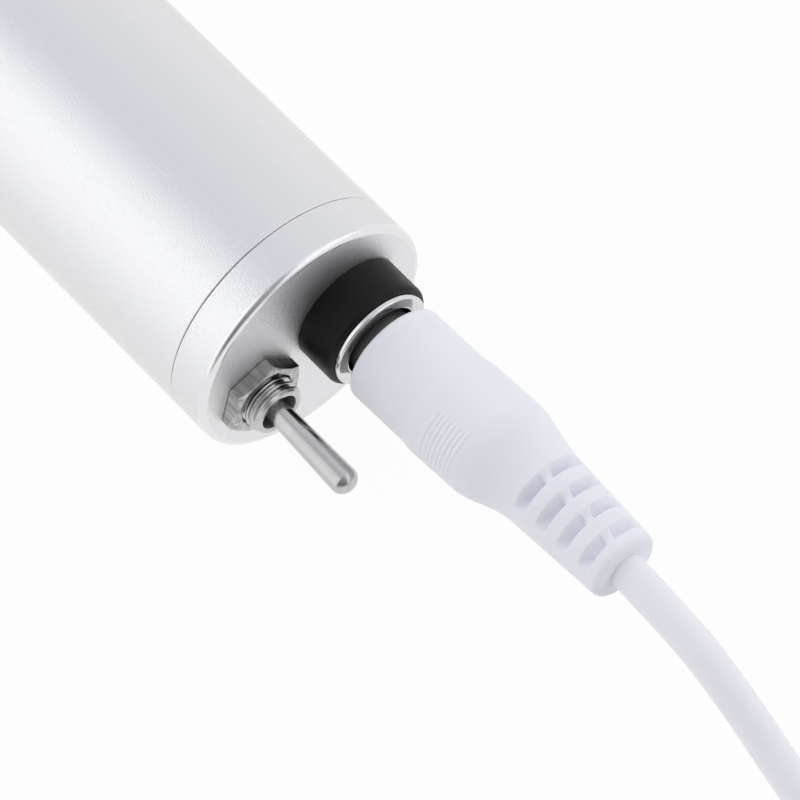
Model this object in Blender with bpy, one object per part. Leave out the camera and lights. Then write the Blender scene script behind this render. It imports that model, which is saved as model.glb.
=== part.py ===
"""Mini rotary drill: an aluminium tube with a small DC motor, a keyed three-jaw chuck in front, and a
round power socket and a toggle switch in its rear cap. A white power lead with a round plug is plugged in.

The drill lies on its side on z = 0. The spindle's axis runs along X, with the chuck at -X and the rear
cap at +X. Places along the axis are called stations: they are measured from the hairline seam between
the tube and the rear cap, and are positive towards the rear. All sizes are in metres.
"""

import math

import bmesh
import bpy
from mathutils import Vector

# Driving sizes
BODY_D = 0.0280
TUBE_LENGTH = 0.0660
TUBE_WALL = 0.0012
REAR_CAP_THICKNESS = 0.0048
FRONT_CAP_THICKNESS = 0.0045
CHUCK_LENGTH = 0.0280
SHAFT_D = 0.0020
CORD_D = 0.0038

# Clearances
FLAT_GAP = 0.00005
FIT_GAP = 0.0001
SEAT_GAP = 0.0003
OVERRUN = 0.0010

# How finely round pieces are faceted
BODY_SIDES = 48
ROUND_SIDES = 32
MIDDLE_SIDES = 24
SMALL_SIDES = 20
INNER_SIDES = 16
WIRE_SIDES_RESOLUTION = 1
BALL_STEPS = 8

# Housing
SPIGOT_LENGTH = 0.0050
SPIGOT_WALL = 0.0012
EDGE_FILLET = 0.0007
SEAM_CHAMFER = 0.00012
FRONT_SPIGOT_LENGTH = 0.0030
FRONT_CONE_LENGTH = 0.0022
FRONT_CONE_WIDTH = 0.00275
SCREW_INSET = 0.0037
SCREW_D = 0.0025
SCREW_HEAD_D = 0.0045
SCREW_HEAD_HEIGHT = 0.0016
SCREW_LENGTH = 0.0086
SCREW_SLOT_WIDTH = 0.0006
SCREW_SLOT_DEPTH = 0.0008

# Motor
MOTOR_SIDE_GAP = 0.0006
CAN_LENGTH = 0.0290
CAN_WALL = 0.0009
CAN_FRONT_WALL = 0.0010
CAN_FILLET = 0.0006
BOSS_D = 0.0062
BOSS_LENGTH = 0.0015
BUSH_D = 0.0048
BUSH_LENGTH = 0.0030
SHAFT_RUN_GAP = 0.00005
BELL_SPIGOT = 0.0014
BELL_FLANGE = 0.0018
BELL_BOSS_LENGTH = 0.0015
MAGNET_LENGTH = 0.0170
MAGNET_THICKNESS = 0.0020
MAGNET_HALF_ANGLE = math.radians(62)
MAGNET_START = 0.0045
CORE_START = 0.0060
CORE_LENGTH = 0.0120
AIR_GAP = 0.0004
POLE_COUNT = 3
POLE_TIP_THICKNESS = 0.0013
POLE_STEM_WIDTH = 0.0038
POLE_HALF_ANGLE = math.radians(50)
HUB_D = 0.0060
WINDING_THICKNESS = 0.0014
WINDING_OVERHANG = 0.0018
COMMUTATOR_D = 0.0054
COMMUTATOR_START = 0.0222
COMMUTATOR_LENGTH = 0.0043
BRUSH_RUN_GAP = 0.0001
BRUSH_HEIGHT = 0.0012
BRUSH_LENGTH = 0.0020
BRUSH_WIDTH = 0.0020
BRUSH_ARM_THICKNESS = 0.0004
TERMINAL_INSET = 0.0034
TERMINAL_WIDTH = 0.0024
TERMINAL_THICKNESS = 0.0005
TERMINAL_REACH = 0.0040
SHAFT_TAIL = 0.0006

# Chuck: distances along it are measured back from its nose
NOSE_D = 0.0096
NOSE_CHAMFER = 0.0005
NOSE_CONE_LENGTH = 0.0062
CHUCK_CORE_D = 0.0166
COLLAR_D = 0.0204
COLLAR_LENGTH = 0.0102
COLLAR_CHAMFER = 0.0006
NUT_START = 0.0090
NUT_LENGTH = 0.0040
NUT_GROOVE_D = 0.0108
SLEEVE_START = 0.0068
SLEEVE_D = 0.0212
SLEEVE_FRONT_D = 0.0188
SLEEVE_FRONT_TAPER = 0.0015
SLEEVE_RUN_GAP = 0.0003
SLEEVE_TEETH = 30
TOOTH_HEIGHT = 0.0011
BIT_HOLE_D = 0.0044
BIT_HOLE_DEPTH = 0.0140
BIT_MAX_D = 0.0040
JAW_COUNT = 3
JAW_D = 0.0038
JAW_ANGLE = math.radians(14)
JAW_LINE_OFFSET = 0.00125
JAW_REACH = 0.0043
JAW_LENGTH = 0.0175
JAW_BORE_GAP = 0.00025
JAW_BORE_DEPTH = 0.0220
JAW_MEET_GAP = 0.0003
KEY_HOLE_D = 0.0038
KEY_HOLE_DEPTH = 0.0030
KEY_HOLE_FROM_REAR = 0.0048
ARBOR_HOLE_DEPTH = 0.0105
ARBOR_D = 0.0061
ARBOR_TIP_D = 0.0054
ARBOR_COLLAR_D = 0.0090
ARBOR_COLLAR_LENGTH = 0.0057
ARBOR_CHAMFER = 0.0004
CHUCK_BACK_SPACE = 0.0066
SHAFT_SHORT_OF_NOSE = 0.0265
SET_SCREW_D = 0.0025
SET_SCREW_SOCKET_D = 0.0013
SET_SCREW_SOCKET_DEPTH = 0.0010
SET_SCREW_SUNK = 0.0003

# Toggle switch
SWITCH_INSET = 0.0054
BUSHING_D = 0.0060
BUSHING_BORE_D = 0.0042
BUSHING_OUT = 0.0035
BUSHING_END_D = 0.0052
BUSHING_CHAMFER = 0.0005
THREAD_PITCH = 0.00075
THREAD_DEPTH = 0.0004
THREAD_TURNS = 4
THREAD_CREST_SHARES = (0.4, 0.6)
SWITCH_NUT_ACROSS_FLATS = 0.0080
SWITCH_NUT_THICKNESS = 0.0016
SWITCH_NUT_CHAMFER = 0.0003
WASHER_D = 0.0100
WASHER_THICKNESS = 0.0004
FRAME_THICKNESS = 0.0006
CASE_CORNER_GAP = 0.0004
CASE_WIDTH = 0.0068
CASE_DEPTH = 0.0086
CASE_WALL = 0.0009
CASE_FLOOR = 0.0020
SWITCH_TERMINAL_SPACING = 0.0047
SWITCH_TERMINAL_WIDTH = 0.0020
SWITCH_TERMINAL_THICKNESS = 0.0008
SWITCH_TERMINAL_LENGTH = 0.0040
LEVER_OUT = 0.0104
LEVER_TIP_D = 0.0030
LEVER_ROOT_D = 0.0024
LEVER_TIP_BEVEL = 0.0005
LEVER_BALL_D = 0.0038
LEVER_TAIL_D = 0.0010
LEVER_TAIL_LENGTH = 0.0121
LEVER_PIVOT_DEPTH = 0.0030
LEVER_TILT = math.radians(12)
ROCKER_TILT = math.radians(7)
ROCKER_LENGTH = 0.0086
ROCKER_WIDTH = 0.0030
ROCKER_THICKNESS = 0.0004

# Power socket
JACK_INSET = 0.00815
JACK_D = 0.0124
JACK_PROUD = 0.0048
JACK_FILLET = 0.0005
JACK_NECK_D = 0.0104
JACK_BACK = 0.0040
JACK_NUT_ACROSS_FLATS = 0.0120
JACK_NUT_THICKNESS = 0.0020
RING_D = 0.0112
RING_BORE_D = 0.0082
RING_SLEEVE_WALL = 0.0003
RING_FLANGE = 0.0005
RING_BEVEL = 0.0002
RING_BACK = 0.0030
CORE_D = 0.0072
CORE_BORE_D = 0.0060
CORE_PROUD = 0.0013
CORE_FLOOR = 0.0030
PIN_D = 0.0021
PIN_SHORT = 0.0018
PIN_TAIL = 0.0025
PIN_TIP = 0.0004
CONTACT_WIDTH = 0.0018
CONTACT_THICKNESS = 0.0003
CONTACT_LENGTH = 0.0092

# Plug: its moulding starts this far behind the rear cap's face
PLUG_STANDOFF = 0.00685
PLUG_BARREL_D = 0.0055
PLUG_BARREL_WALL = 0.0005
PLUG_BARREL_LENGTH = 0.0095
PLUG_BARREL_ROOT = 0.0025
PLUG_BARREL_LEAD = 0.0003
PLUG_BORE_D = 0.0025
PLUG_INSULATOR_WALL = 0.0005
MOULDING_LENGTH = 0.0334
MOULDING_FRONT_D = 0.0113
MOULDING_GRIP_D = 0.0117
MOULDING_NECK_D = 0.0089
MOULDING_END_D = 0.0078
MOULDING_SIDESTEP = 0.00088
CORD_SEAT_DEPTH = 0.0030
WINDOW_COUNT = 4
WINDOW_START = 0.0216
WINDOW_WIDTH = 0.0013
WINDOW_PITCH = 0.0029
WINDOW_CORE_D = 0.0052
SPINE_WIDTH = 0.0010
WINDOW_TURN = math.radians(-9)
PLUG_PULL = 0.0120

# Lead
HANK_NEAR_STATION = 0.1070
HANK_ASIDE = -0.0043
HANK_RUN = 0.0290
HANK_INNER_R = 0.0114
HANK_STEP = 0.0044
HANK_FOLD_POINTS = 12
HANK_FLOOR_SPACE = 0.0006
GAP_SAMPLE = 0.0010
TAIL_LENGTH = 0.0060
TIE_THICKNESS = 0.0004
TIE_WIDTH = 0.0040
TIE_GAP = 0.00015
TIE_CORNER = 0.0015

# Connector on the lead's far end
USB_LENGTH = 0.0240
USB_WIDTH = 0.0126
USB_HEIGHT = 0.0080
USB_CORNER = 0.0016
USB_RELIEF_LENGTH = 0.0095
USB_RELIEF_D = 0.0056
USB_RELIEF_ROOT_D = 0.0070
SHELL_WIDTH = 0.0120
SHELL_HEIGHT = 0.0045
SHELL_WALL = 0.0003
SHELL_LENGTH = 0.0185
TONGUE_LENGTH = 0.0165
TONGUE_HEIGHT = 0.0018

# Hook-up wire
WIRE_D = 0.0012
WIRE_POINTS = 12
WIRE_BOW = 0.0060
WIRE_SLACK = 0.0045

# Worked-out places
AXIS_Z = BODY_D / 2 * math.cos(math.pi / BODY_SIDES)
BORE_D = BODY_D - 2 * TUBE_WALL
MOTOR_D = BORE_D - 2 * MOTOR_SIDE_GAP
SCREW_SPACING = MOTOR_D - 2 * SCREW_INSET
TERMINAL_OFFSET = MOTOR_D / 2 - TERMINAL_INSET
FRONT_FACE_D = BODY_D - 2 * FRONT_CONE_WIDTH
SWITCH_Y = SWITCH_INSET - BORE_D / 2
JACK_Y = BORE_D / 2 - JACK_INSET
NOSE_STATION = -(TUBE_LENGTH + FRONT_CAP_THICKNESS + CHUCK_BACK_SPACE + CHUCK_LENGTH)
MOTOR_STATION = -TUBE_LENGTH + FRONT_SPIGOT_LENGTH + FLAT_GAP
PIVOT_STATION = REAR_CAP_THICKNESS + BUSHING_OUT - LEVER_PIVOT_DEPTH
LEVER_LENGTH = LEVER_PIVOT_DEPTH + LEVER_OUT
LEVER_END_R = LEVER_TIP_D / 2 - LEVER_TIP_BEVEL
LEVER_REACH = LEVER_LENGTH * math.cos(LEVER_TILT) + LEVER_END_R * math.sin(LEVER_TILT)
SEAM_X = (JAW_REACH - NOSE_STATION - PIVOT_STATION - LEVER_REACH) / 2
SEAM = Vector((SEAM_X, 0, AXIS_Z))
JACK = SEAM + Vector((0, JACK_Y, 0))
SWITCH = SEAM + Vector((0, SWITCH_Y, 0))
CORE_FRONT = REAR_CAP_THICKNESS + JACK_PROUD + CORE_PROUD
CORE_BACK = -JACK_BACK - SEAT_GAP
PLUG_FRONT = REAR_CAP_THICKNESS + PLUG_STANDOFF
PLUG_END = PLUG_FRONT + MOULDING_LENGTH
CASE_LENGTH = 2 * math.sqrt((BORE_D / 2 - CASE_CORNER_GAP) ** 2 - (CASE_WIDTH / 2 - SWITCH_Y) ** 2)
CASE_FRONT = -(SEAT_GAP + WASHER_THICKNESS + SEAT_GAP + FRAME_THICKNESS + FLAT_GAP)
CASE_BACK = CASE_FRONT - CASE_DEPTH
HANK_LOW_Z = HANK_FLOOR_SPACE + CORD_D / 2

# The hank's turns in order: column, 0 inside and 1 outside; layer, 0 lowest; and how many steps its near fold
# reaches past the inner turn
HANK_TURNS = [(1, 0, 1.2), (0, 0, 0), (0, 1, 1.2), (1, 1, 2.4), (1, 2, 1.2), (0, 2, 0)]
HANK_LAYERS = 3
HANK_TOP_Z = HANK_LOW_Z + (HANK_LAYERS - 1) * HANK_STEP + CORD_D / 2

# The lead's route from the plug to the hank, from the seam along X, from the axis along Y, above the floor
LEAD_ROUTE = [
    (0.04240, 0.00553, 0.0140),
    (0.0452, 0.0055, 0.0140),
    (0.0480, 0.0054, 0.0138),
    (0.0515, 0.0053, 0.0134),
    (0.0560, 0.0051, 0.0125),
    (0.0605, 0.0045, 0.0111),
    (0.0650, 0.0038, 0.0093),
    (0.0695, 0.0029, 0.0075),
    (0.0740, 0.0024, 0.0059),
    (0.0785, 0.0027, 0.0043),
    (0.0830, 0.0039, 0.0031),
    (0.0875, 0.0059, 0.0025),
    (0.0920, 0.0082, 0.0024),
    (0.0965, 0.0102, 0.0025),
    (0.1010, 0.0113, 0.0025),
    (0.1050, 0.0115, 0.0025),
]

# Colours, roughness and metallic value of each material
FINISHES = {
    "satin_aluminium": ((0.80, 0.81, 0.83), 0.38, 1.0),
    "bright_steel": ((0.75, 0.74, 0.72), 0.22, 1.0),
    "dark_steel": ((0.42, 0.42, 0.43), 0.35, 1.0),
    "nickel": ((0.72, 0.70, 0.66), 0.20, 1.0),
    "chrome": ((0.86, 0.86, 0.87), 0.10, 1.0),
    "brass": ((0.80, 0.62, 0.30), 0.30, 1.0),
    "copper": ((0.75, 0.36, 0.20), 0.35, 1.0),
    "magnet": ((0.10, 0.10, 0.11), 0.60, 0.0),
    "black_plastic": ((0.030, 0.030, 0.032), 0.50, 0.0),
    "grey_plastic": ((0.09, 0.09, 0.10), 0.45, 0.0),
    "blue_plastic": ((0.05, 0.12, 0.36), 0.40, 0.0),
    "white_nylon": ((0.82, 0.81, 0.77), 0.45, 0.0),
    "white_vinyl": ((0.84, 0.84, 0.88), 0.48, 0.0),
    "red_wire": ((0.60, 0.04, 0.03), 0.45, 0.0),
    "black_wire": ((0.02, 0.02, 0.02), 0.45, 0.0),
}


def clear_scene():
    for item in list(bpy.data.objects):
        bpy.data.objects.remove(item, do_unlink=True)


def material(finish):
    found = bpy.data.materials.get(finish)
    if found:
        return found
    colour, roughness, metallic = FINISHES[finish]
    made = bpy.data.materials.new(finish)
    made.use_nodes = True
    shader = made.node_tree.nodes["Principled BSDF"]
    shader.inputs["Base Color"].default_value = (*colour, 1.0)
    shader.inputs["Roughness"].default_value = roughness
    shader.inputs["Metallic"].default_value = metallic
    return made


def axis_empty(name, place, parent=None):
    """An empty on a joint's axis, which the pieces of one moving body hang from."""
    empty = bpy.data.objects.new(name, None)
    bpy.context.scene.collection.objects.link(empty)
    empty.location = place - (parent.location if parent else Vector())
    empty.parent = parent
    return empty


def add_object(name, mesh, finish, place, parent=None, origin=None):
    """Links a mesh at its place. A parent hangs at origin, which is where its own location puts it."""
    made = bpy.data.objects.new(name, mesh)
    bpy.context.scene.collection.objects.link(made)
    made.location = place - (origin if parent else Vector())
    made.parent = parent
    if finish:
        mesh.materials.append(material(finish))
    return made


def circle(x, radius, sides):
    """A ring of points round the X axis, with a flat facet straight down."""
    step = 2 * math.pi / sides
    angles = [(i + 0.5) * step - math.pi / 2 for i in range(sides)]
    return [(x, radius * math.cos(a), radius * math.sin(a)) for a in angles]


def mesh_of_loops(name, loops, ring):
    """Joins loops of equally many points by bands of faces, as a closed ring or with both ends capped."""
    bm = bmesh.new()
    rows = [[bm.verts.new(point) for point in loop] for loop in loops]
    pairs = list(zip(rows, rows[1:]))
    if ring:
        pairs.append((rows[-1], rows[0]))
    for first, second in pairs:
        for i in range(len(first)):
            j = (i + 1) % len(first)
            bm.faces.new((first[i], first[j], second[j], second[i]))
    if not ring:
        bm.faces.new(rows[0])
        bm.faces.new(rows[-1])
    return finish_mesh(name, bm)


def finish_mesh(name, bm):
    bmesh.ops.recalc_face_normals(bm, faces=bm.faces)
    mesh = bpy.data.meshes.new(name)
    bm.to_mesh(mesh)
    bm.free()
    mesh.shade_smooth()
    mesh.set_sharp_from_angle(angle=math.radians(35))
    return mesh


def turned(name, profile, finish, place=SEAM, ring=False, sides=ROUND_SIDES, hang=None):
    """A turned piece. The profile lists (station, radius) points; a ring's profile closes on itself."""
    loops = [circle(x, r, sides) for x, r in profile]
    mesh = mesh_of_loops(name, loops, ring)
    return add_object(name, mesh, finish, place, *(hang or ()))


def prism(name, outline, x0, x1, finish, place=SEAM, hang=None):
    """An outline of (y, z) points, extruded along X."""
    loops = [[(x, y, z) for y, z in outline] for x in (x0, x1)]
    mesh = mesh_of_loops(name, loops, False)
    return add_object(name, mesh, finish, place, *(hang or ()))


def rectangle(y0, y1, z0, z1):
    return [(y0, z0), (y1, z0), (y1, z1), (y0, z1)]


def rounded_rectangle(width, height, corner, steps=2):
    """A centred rectangle in Y and Z, with round corners."""
    points = []
    for k, (sy, sz) in enumerate(((1, 1), (-1, 1), (-1, -1), (1, -1))):
        for i in range(steps + 1):
            angle = math.pi / 2 * (k + i / steps)
            points.append(
                (
                    sy * (width / 2 - corner) + corner * math.cos(angle),
                    sz * (height / 2 - corner) + corner * math.sin(angle),
                )
            )
    return points


def block(name, x_span, y_span, z_span, finish, place=SEAM, hang=None):
    return prism(name, rectangle(*y_span, *z_span), *x_span, finish, place, hang)


def cut(target, cutter):
    """Cuts one solid out of another for good, and removes the cutter."""
    modifier = target.modifiers.new("cut", "BOOLEAN")
    modifier.operation = "DIFFERENCE"
    modifier.solver = "EXACT"
    modifier.object = cutter
    bpy.context.view_layer.update()
    graph = bpy.context.evaluated_depsgraph_get()
    result = bpy.data.meshes.new_from_object(target.evaluated_get(graph))
    target.modifiers.clear()
    old = target.data
    target.data = result
    bpy.data.meshes.remove(old)
    result.name = target.name
    result.shade_smooth()
    result.set_sharp_from_angle(angle=math.radians(35))
    bpy.data.objects.remove(cutter, do_unlink=True)


def hexagon_loop(x, across_flats, sides, limit):
    """A hexagon as points at even angles, none further out than limit, with corners towards +Y and -Y."""
    points = []
    for i in range(sides):
        angle = 2 * math.pi * i / sides
        off_flat = (angle % (math.pi / 3)) - math.pi / 6
        radius = min(across_flats / 2 / math.cos(off_flat), limit)
        points.append((x, radius * math.cos(angle), radius * math.sin(angle)))
    return points


def hex_nut(name, x0, thickness, across_flats, bore, chamfer, finish, place, turn=0):
    """A hexagon nut with turned-down corners and a bevelled bore."""
    corner = across_flats / math.sqrt(3)
    rim = (across_flats / 2 + corner) / 2
    x1 = x0 + thickness
    bore_r = bore / 2

    def round_loop(x, radius):
        steps = [2 * math.pi * i / MIDDLE_SIDES for i in range(MIDDLE_SIDES)]
        return [(x, radius * math.cos(a), radius * math.sin(a)) for a in steps]

    loops = [
        hexagon_loop(x0, across_flats, MIDDLE_SIDES, corner),
        hexagon_loop(x1 - chamfer, across_flats, MIDDLE_SIDES, corner),
        hexagon_loop(x1, across_flats, MIDDLE_SIDES, rim),
        round_loop(x1, bore_r + chamfer),
        round_loop(x1 - chamfer, bore_r),
        round_loop(x0, bore_r),
    ]
    nut = add_object(name, mesh_of_loops(name, loops, True), finish, place)
    nut.rotation_euler = (turn, 0, 0)
    return nut


def smooth_path(points, steps):
    """Points along a smooth curve through the given points."""
    path = []
    padded = [2 * points[0] - points[1], *points, 2 * points[-1] - points[-2]]
    for a, b, c, d in zip(padded, padded[1:], padded[2:], padded[3:]):
        for i in range(steps):
            t = i / steps
            path.append(
                0.5
                * (
                    2 * b
                    + (c - a) * t
                    + (2 * a - 5 * b + 4 * c - d) * t**2
                    + (3 * b - a - 3 * c + d) * t**3
                )
            )
    return [*path, points[-1]]


def tube(name, points, diameter, resolution, finish, hang=None):
    """A round tube along a line of points given in the row's frame."""
    curve = bpy.data.curves.new(name, "CURVE")
    curve.dimensions = "3D"
    curve.bevel_depth = diameter / 2
    curve.bevel_resolution = resolution
    curve.use_fill_caps = True
    spline = curve.splines.new("POLY")
    spline.points.add(len(points) - 1)
    origin = hang[1] if hang else Vector()
    for knot, point in zip(spline.points, points):
        knot.co = (*(point - origin), 1)
    curve.materials.append(material(finish))
    made = bpy.data.objects.new(name, curve)
    bpy.context.scene.collection.objects.link(made)
    made.parent = hang[0] if hang else None
    return made


# Housing
def make_tube():
    outer = BODY_D / 2
    inner = BORE_D / 2
    front = -TUBE_LENGTH
    profile = [
        (front, inner),
        (front, outer - SEAM_CHAMFER),
        (front + SEAM_CHAMFER, outer),
        (-SEAM_CHAMFER, outer),
        (0, outer - SEAM_CHAMFER),
        (0, inner),
    ]
    turned("housing_tube", profile, "satin_aluminium", ring=True, sides=BODY_SIDES)


def make_rear_cap():
    """A thick plate with a spigot that fits the tube. It carries the switch and the socket."""
    outer = BODY_D / 2
    spigot = BORE_D / 2 - SEAT_GAP
    hollow = spigot - SPIGOT_WALL
    face = REAR_CAP_THICKNESS
    fillet = [
        (
            face - EDGE_FILLET + EDGE_FILLET * math.sin(a),
            outer - EDGE_FILLET + EDGE_FILLET * math.cos(a),
        )
        for a in (0, math.pi / 4, math.pi / 2)
    ]
    profile = [
        (0, hollow),
        (-SPIGOT_LENGTH, hollow),
        (-SPIGOT_LENGTH, spigot),
        (FLAT_GAP, spigot),
        (FLAT_GAP, outer - SEAM_CHAMFER),
        (FLAT_GAP + SEAM_CHAMFER, outer),
        *fillet,
    ]
    cap = turned("rear_cap", profile, "satin_aluminium", sides=BODY_SIDES)
    for name, diameter, place in (
        ("switch_hole", BUSHING_D + 2 * SEAT_GAP, SWITCH),
        ("jack_hole", JACK_NECK_D + 2 * SEAT_GAP, JACK),
    ):
        hole = [(x, diameter / 2) for x in (-OVERRUN, face + OVERRUN)]
        cut(cap, turned(name, hole, None, place))
    notch_half = CASE_LENGTH / 2 + 2 * SEAT_GAP
    notch = block(
        "case_notch",
        (-SPIGOT_LENGTH - OVERRUN, -FLAT_GAP),
        (-BODY_D / 2, SWITCH_Y + CASE_WIDTH / 2 + SEAT_GAP),
        (-notch_half, notch_half),
        None,
    )
    cut(cap, notch)


def screw_places():
    half = SCREW_SPACING / 2
    return [SEAM + Vector((0, 0, side * half)) for side in (1, -1)]


def make_front_cap():
    """The front plate that the motor is screwed to, tapering towards the chuck."""
    outer = BODY_D / 2
    spigot = BORE_D / 2 - SEAT_GAP
    back = -TUBE_LENGTH + FRONT_SPIGOT_LENGTH
    face = -TUBE_LENGTH - FRONT_CAP_THICKNESS
    rim = -TUBE_LENGTH - FLAT_GAP
    boss_hole = BOSS_D / 2 + SEAT_GAP
    profile = [
        (back, boss_hole),
        (back, spigot),
        (rim, spigot),
        (rim, outer - SEAM_CHAMFER),
        (rim - SEAM_CHAMFER, outer),
        (face + FRONT_CONE_LENGTH, outer),
        (face + SEAM_CHAMFER, FRONT_FACE_D / 2 + SEAM_CHAMFER),
        (face, FRONT_FACE_D / 2),
        (face, boss_hole),
    ]
    cap = turned("front_cap", profile, "satin_aluminium", ring=True, sides=BODY_SIDES)
    head_room = face + SCREW_HEAD_HEIGHT + SEAT_GAP
    hole = [
        (face - OVERRUN, SCREW_HEAD_D / 2 + SEAT_GAP),
        (head_room, SCREW_HEAD_D / 2 + SEAT_GAP),
        (head_room, SCREW_D / 2 + SEAT_GAP),
        (back + OVERRUN, SCREW_D / 2 + SEAT_GAP),
    ]
    for place in screw_places():
        cut(cap, turned("screw_hole", hole, None, place, sides=SMALL_SIDES))


def make_motor_screws():
    head = -TUBE_LENGTH - FRONT_CAP_THICKNESS + SEAT_GAP
    shoulder = head + SCREW_HEAD_HEIGHT - SEAT_GAP
    end = head + SCREW_LENGTH
    bevel = SCREW_SLOT_WIDTH / 2
    profile = [
        (head, SCREW_HEAD_D / 2 - bevel),
        (head + bevel, SCREW_HEAD_D / 2),
        (shoulder, SCREW_HEAD_D / 2),
        (shoulder, SCREW_D / 2),
        (end - bevel, SCREW_D / 2),
        (end, SCREW_D / 2 - bevel),
    ]
    for i, place in enumerate(screw_places()):
        screw = turned(f"motor_screw_{i + 1}", profile, "bright_steel", place, sides=SMALL_SIDES)
        half_width = SCREW_SLOT_WIDTH / 2
        slot = block(
            "screw_slot",
            (head - OVERRUN, head + SCREW_SLOT_DEPTH),
            (-SCREW_HEAD_D, SCREW_HEAD_D),
            (-half_width, half_width),
            None,
            place,
        )
        cut(screw, slot)


# Motor, fixed pieces
def make_motor_can():
    outer = MOTOR_D / 2
    inner = outer - CAN_WALL
    bush_hole = BUSH_D / 2 + FIT_GAP
    front = MOTOR_STATION
    profile = [
        (front - BOSS_LENGTH, bush_hole),
        (front - BOSS_LENGTH, BOSS_D / 2),
        (front, BOSS_D / 2),
        (front, outer - CAN_FILLET),
        (front + CAN_FILLET, outer),
        (front + CAN_LENGTH, outer),
        (front + CAN_LENGTH, inner),
        (front + CAN_FRONT_WALL, inner),
        (front + CAN_FRONT_WALL, bush_hole),
    ]
    can = turned("motor_can", profile, "bright_steel", ring=True, sides=MIDDLE_SIDES)
    hole = [
        (front - OVERRUN, SCREW_D / 2 + FIT_GAP),
        (front + CAN_FRONT_WALL + OVERRUN, SCREW_D / 2 + FIT_GAP),
    ]
    for place in screw_places():
        cut(can, turned("thread_hole", hole, None, place, sides=INNER_SIDES))


def make_bush(name, x0):
    """A sintered bush with running clearance for the shaft."""
    inner = SHAFT_D / 2 + SHAFT_RUN_GAP
    profile = [(x0, inner), (x0, BUSH_D / 2), (x0 + BUSH_LENGTH, BUSH_D / 2), (x0 + BUSH_LENGTH, inner)]
    turned(name, profile, "brass", ring=True, sides=INNER_SIDES)


def bell_face():
    """Station of the end bell's inner face."""
    return MOTOR_STATION + CAN_LENGTH + FLAT_GAP - BELL_SPIGOT


def make_end_bell():
    inner_face = bell_face()
    flange = MOTOR_STATION + CAN_LENGTH + FLAT_GAP
    back = flange + BELL_FLANGE
    bush_hole = BUSH_D / 2 + FIT_GAP
    boss_r = bush_hole + CAN_WALL
    spigot = MOTOR_D / 2 - CAN_WALL - SEAT_GAP
    profile = [
        (inner_face, bush_hole),
        (inner_face, spigot),
        (flange, spigot),
        (flange, MOTOR_D / 2 - FIT_GAP),
        (back, MOTOR_D / 2 - FIT_GAP),
        (back, boss_r),
        (back + BELL_BOSS_LENGTH, boss_r),
        (back + BELL_BOSS_LENGTH, bush_hole),
    ]
    bell = turned("motor_end_bell", profile, "black_plastic", ring=True, sides=MIDDLE_SIDES)
    half_height = TERMINAL_WIDTH / 2 + FIT_GAP
    half_depth = TERMINAL_THICKNESS / 2 + FIT_GAP
    for side in (1, -1):
        middle = side * TERMINAL_OFFSET
        slot = block(
            "terminal_slot",
            (inner_face - OVERRUN, back + OVERRUN),
            (middle - half_depth, middle + half_depth),
            (-half_height, half_height),
            None,
        )
        cut(bell, slot)


def terminal_end():
    return bell_face() + BELL_SPIGOT + BELL_FLANGE + TERMINAL_REACH


def make_motor_terminals():
    half_width = TERMINAL_WIDTH / 2
    half_thickness = TERMINAL_THICKNESS / 2
    for i, side in enumerate((1, -1)):
        middle = side * TERMINAL_OFFSET
        block(
            f"motor_terminal_{i + 1}",
            (bell_face(), terminal_end()),
            (middle - half_thickness, middle + half_thickness),
            (-half_width, half_width),
            "brass",
        )


def make_brushes():
    """A carbon block on a spring arm for each side, drawn as one outline in X and Y."""
    front = MOTOR_STATION + COMMUTATOR_START + (COMMUTATOR_LENGTH - BRUSH_LENGTH) / 2
    tip = COMMUTATOR_D / 2 + BRUSH_RUN_GAP
    root = tip + BRUSH_HEIGHT
    arm = front + BRUSH_LENGTH / 2
    back = bell_face() - FIT_GAP
    far = TERMINAL_OFFSET + TERMINAL_THICKNESS / 2
    outline = [
        (front, tip),
        (front + BRUSH_LENGTH, tip),
        (front + BRUSH_LENGTH, root),
        (arm + BRUSH_ARM_THICKNESS, root),
        (arm + BRUSH_ARM_THICKNESS, far - BRUSH_ARM_THICKNESS),
        (back, far - BRUSH_ARM_THICKNESS),
        (back, far),
        (arm, far),
        (arm, root),
        (front, root),
    ]
    for i, side in enumerate((1, -1)):
        half = BRUSH_WIDTH / 2
        loops = [[(x, side * y, z) for x, y in outline] for z in (-half, half)]
        name = f"motor_brush_{i + 1}"
        add_object(name, mesh_of_loops(name, loops, False), "copper", SEAM)


def polar(radius, angle):
    return (radius * math.cos(angle), radius * math.sin(angle))


def arc(radius, start, end, count):
    return [polar(radius, start + (end - start) * i / (count - 1)) for i in range(count)]


def make_magnets():
    outer = MOTOR_D / 2 - CAN_WALL - FIT_GAP
    inner = outer - MAGNET_THICKNESS
    x0 = MOTOR_STATION + MAGNET_START
    for i, middle in enumerate((0, math.pi)):
        low = middle - MAGNET_HALF_ANGLE
        high = middle + MAGNET_HALF_ANGLE
        outline = [*arc(outer, low, high, INNER_SIDES // 2), *arc(inner, high, low, INNER_SIDES // 2)]
        prism(f"magnet_{i + 1}", outline, x0, x0 + MAGNET_LENGTH, "magnet")


# Spindle: everything that turns with the motor's shaft
def make_shaft(hang):
    front = NOSE_STATION + SHAFT_SHORT_OF_NOSE
    back = bell_face() + BELL_SPIGOT + BELL_FLANGE + BELL_BOSS_LENGTH + SHAFT_TAIL
    r = SHAFT_D / 2
    bevel = SHAFT_TAIL / 2
    profile = [(front, r - bevel), (front + bevel, r), (back - bevel, r), (back, r - bevel)]
    turned("motor_shaft", profile, "bright_steel", sides=INNER_SIDES, hang=hang)


def core_radius():
    return MOTOR_D / 2 - CAN_WALL - FIT_GAP - MAGNET_THICKNESS - AIR_GAP


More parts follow.
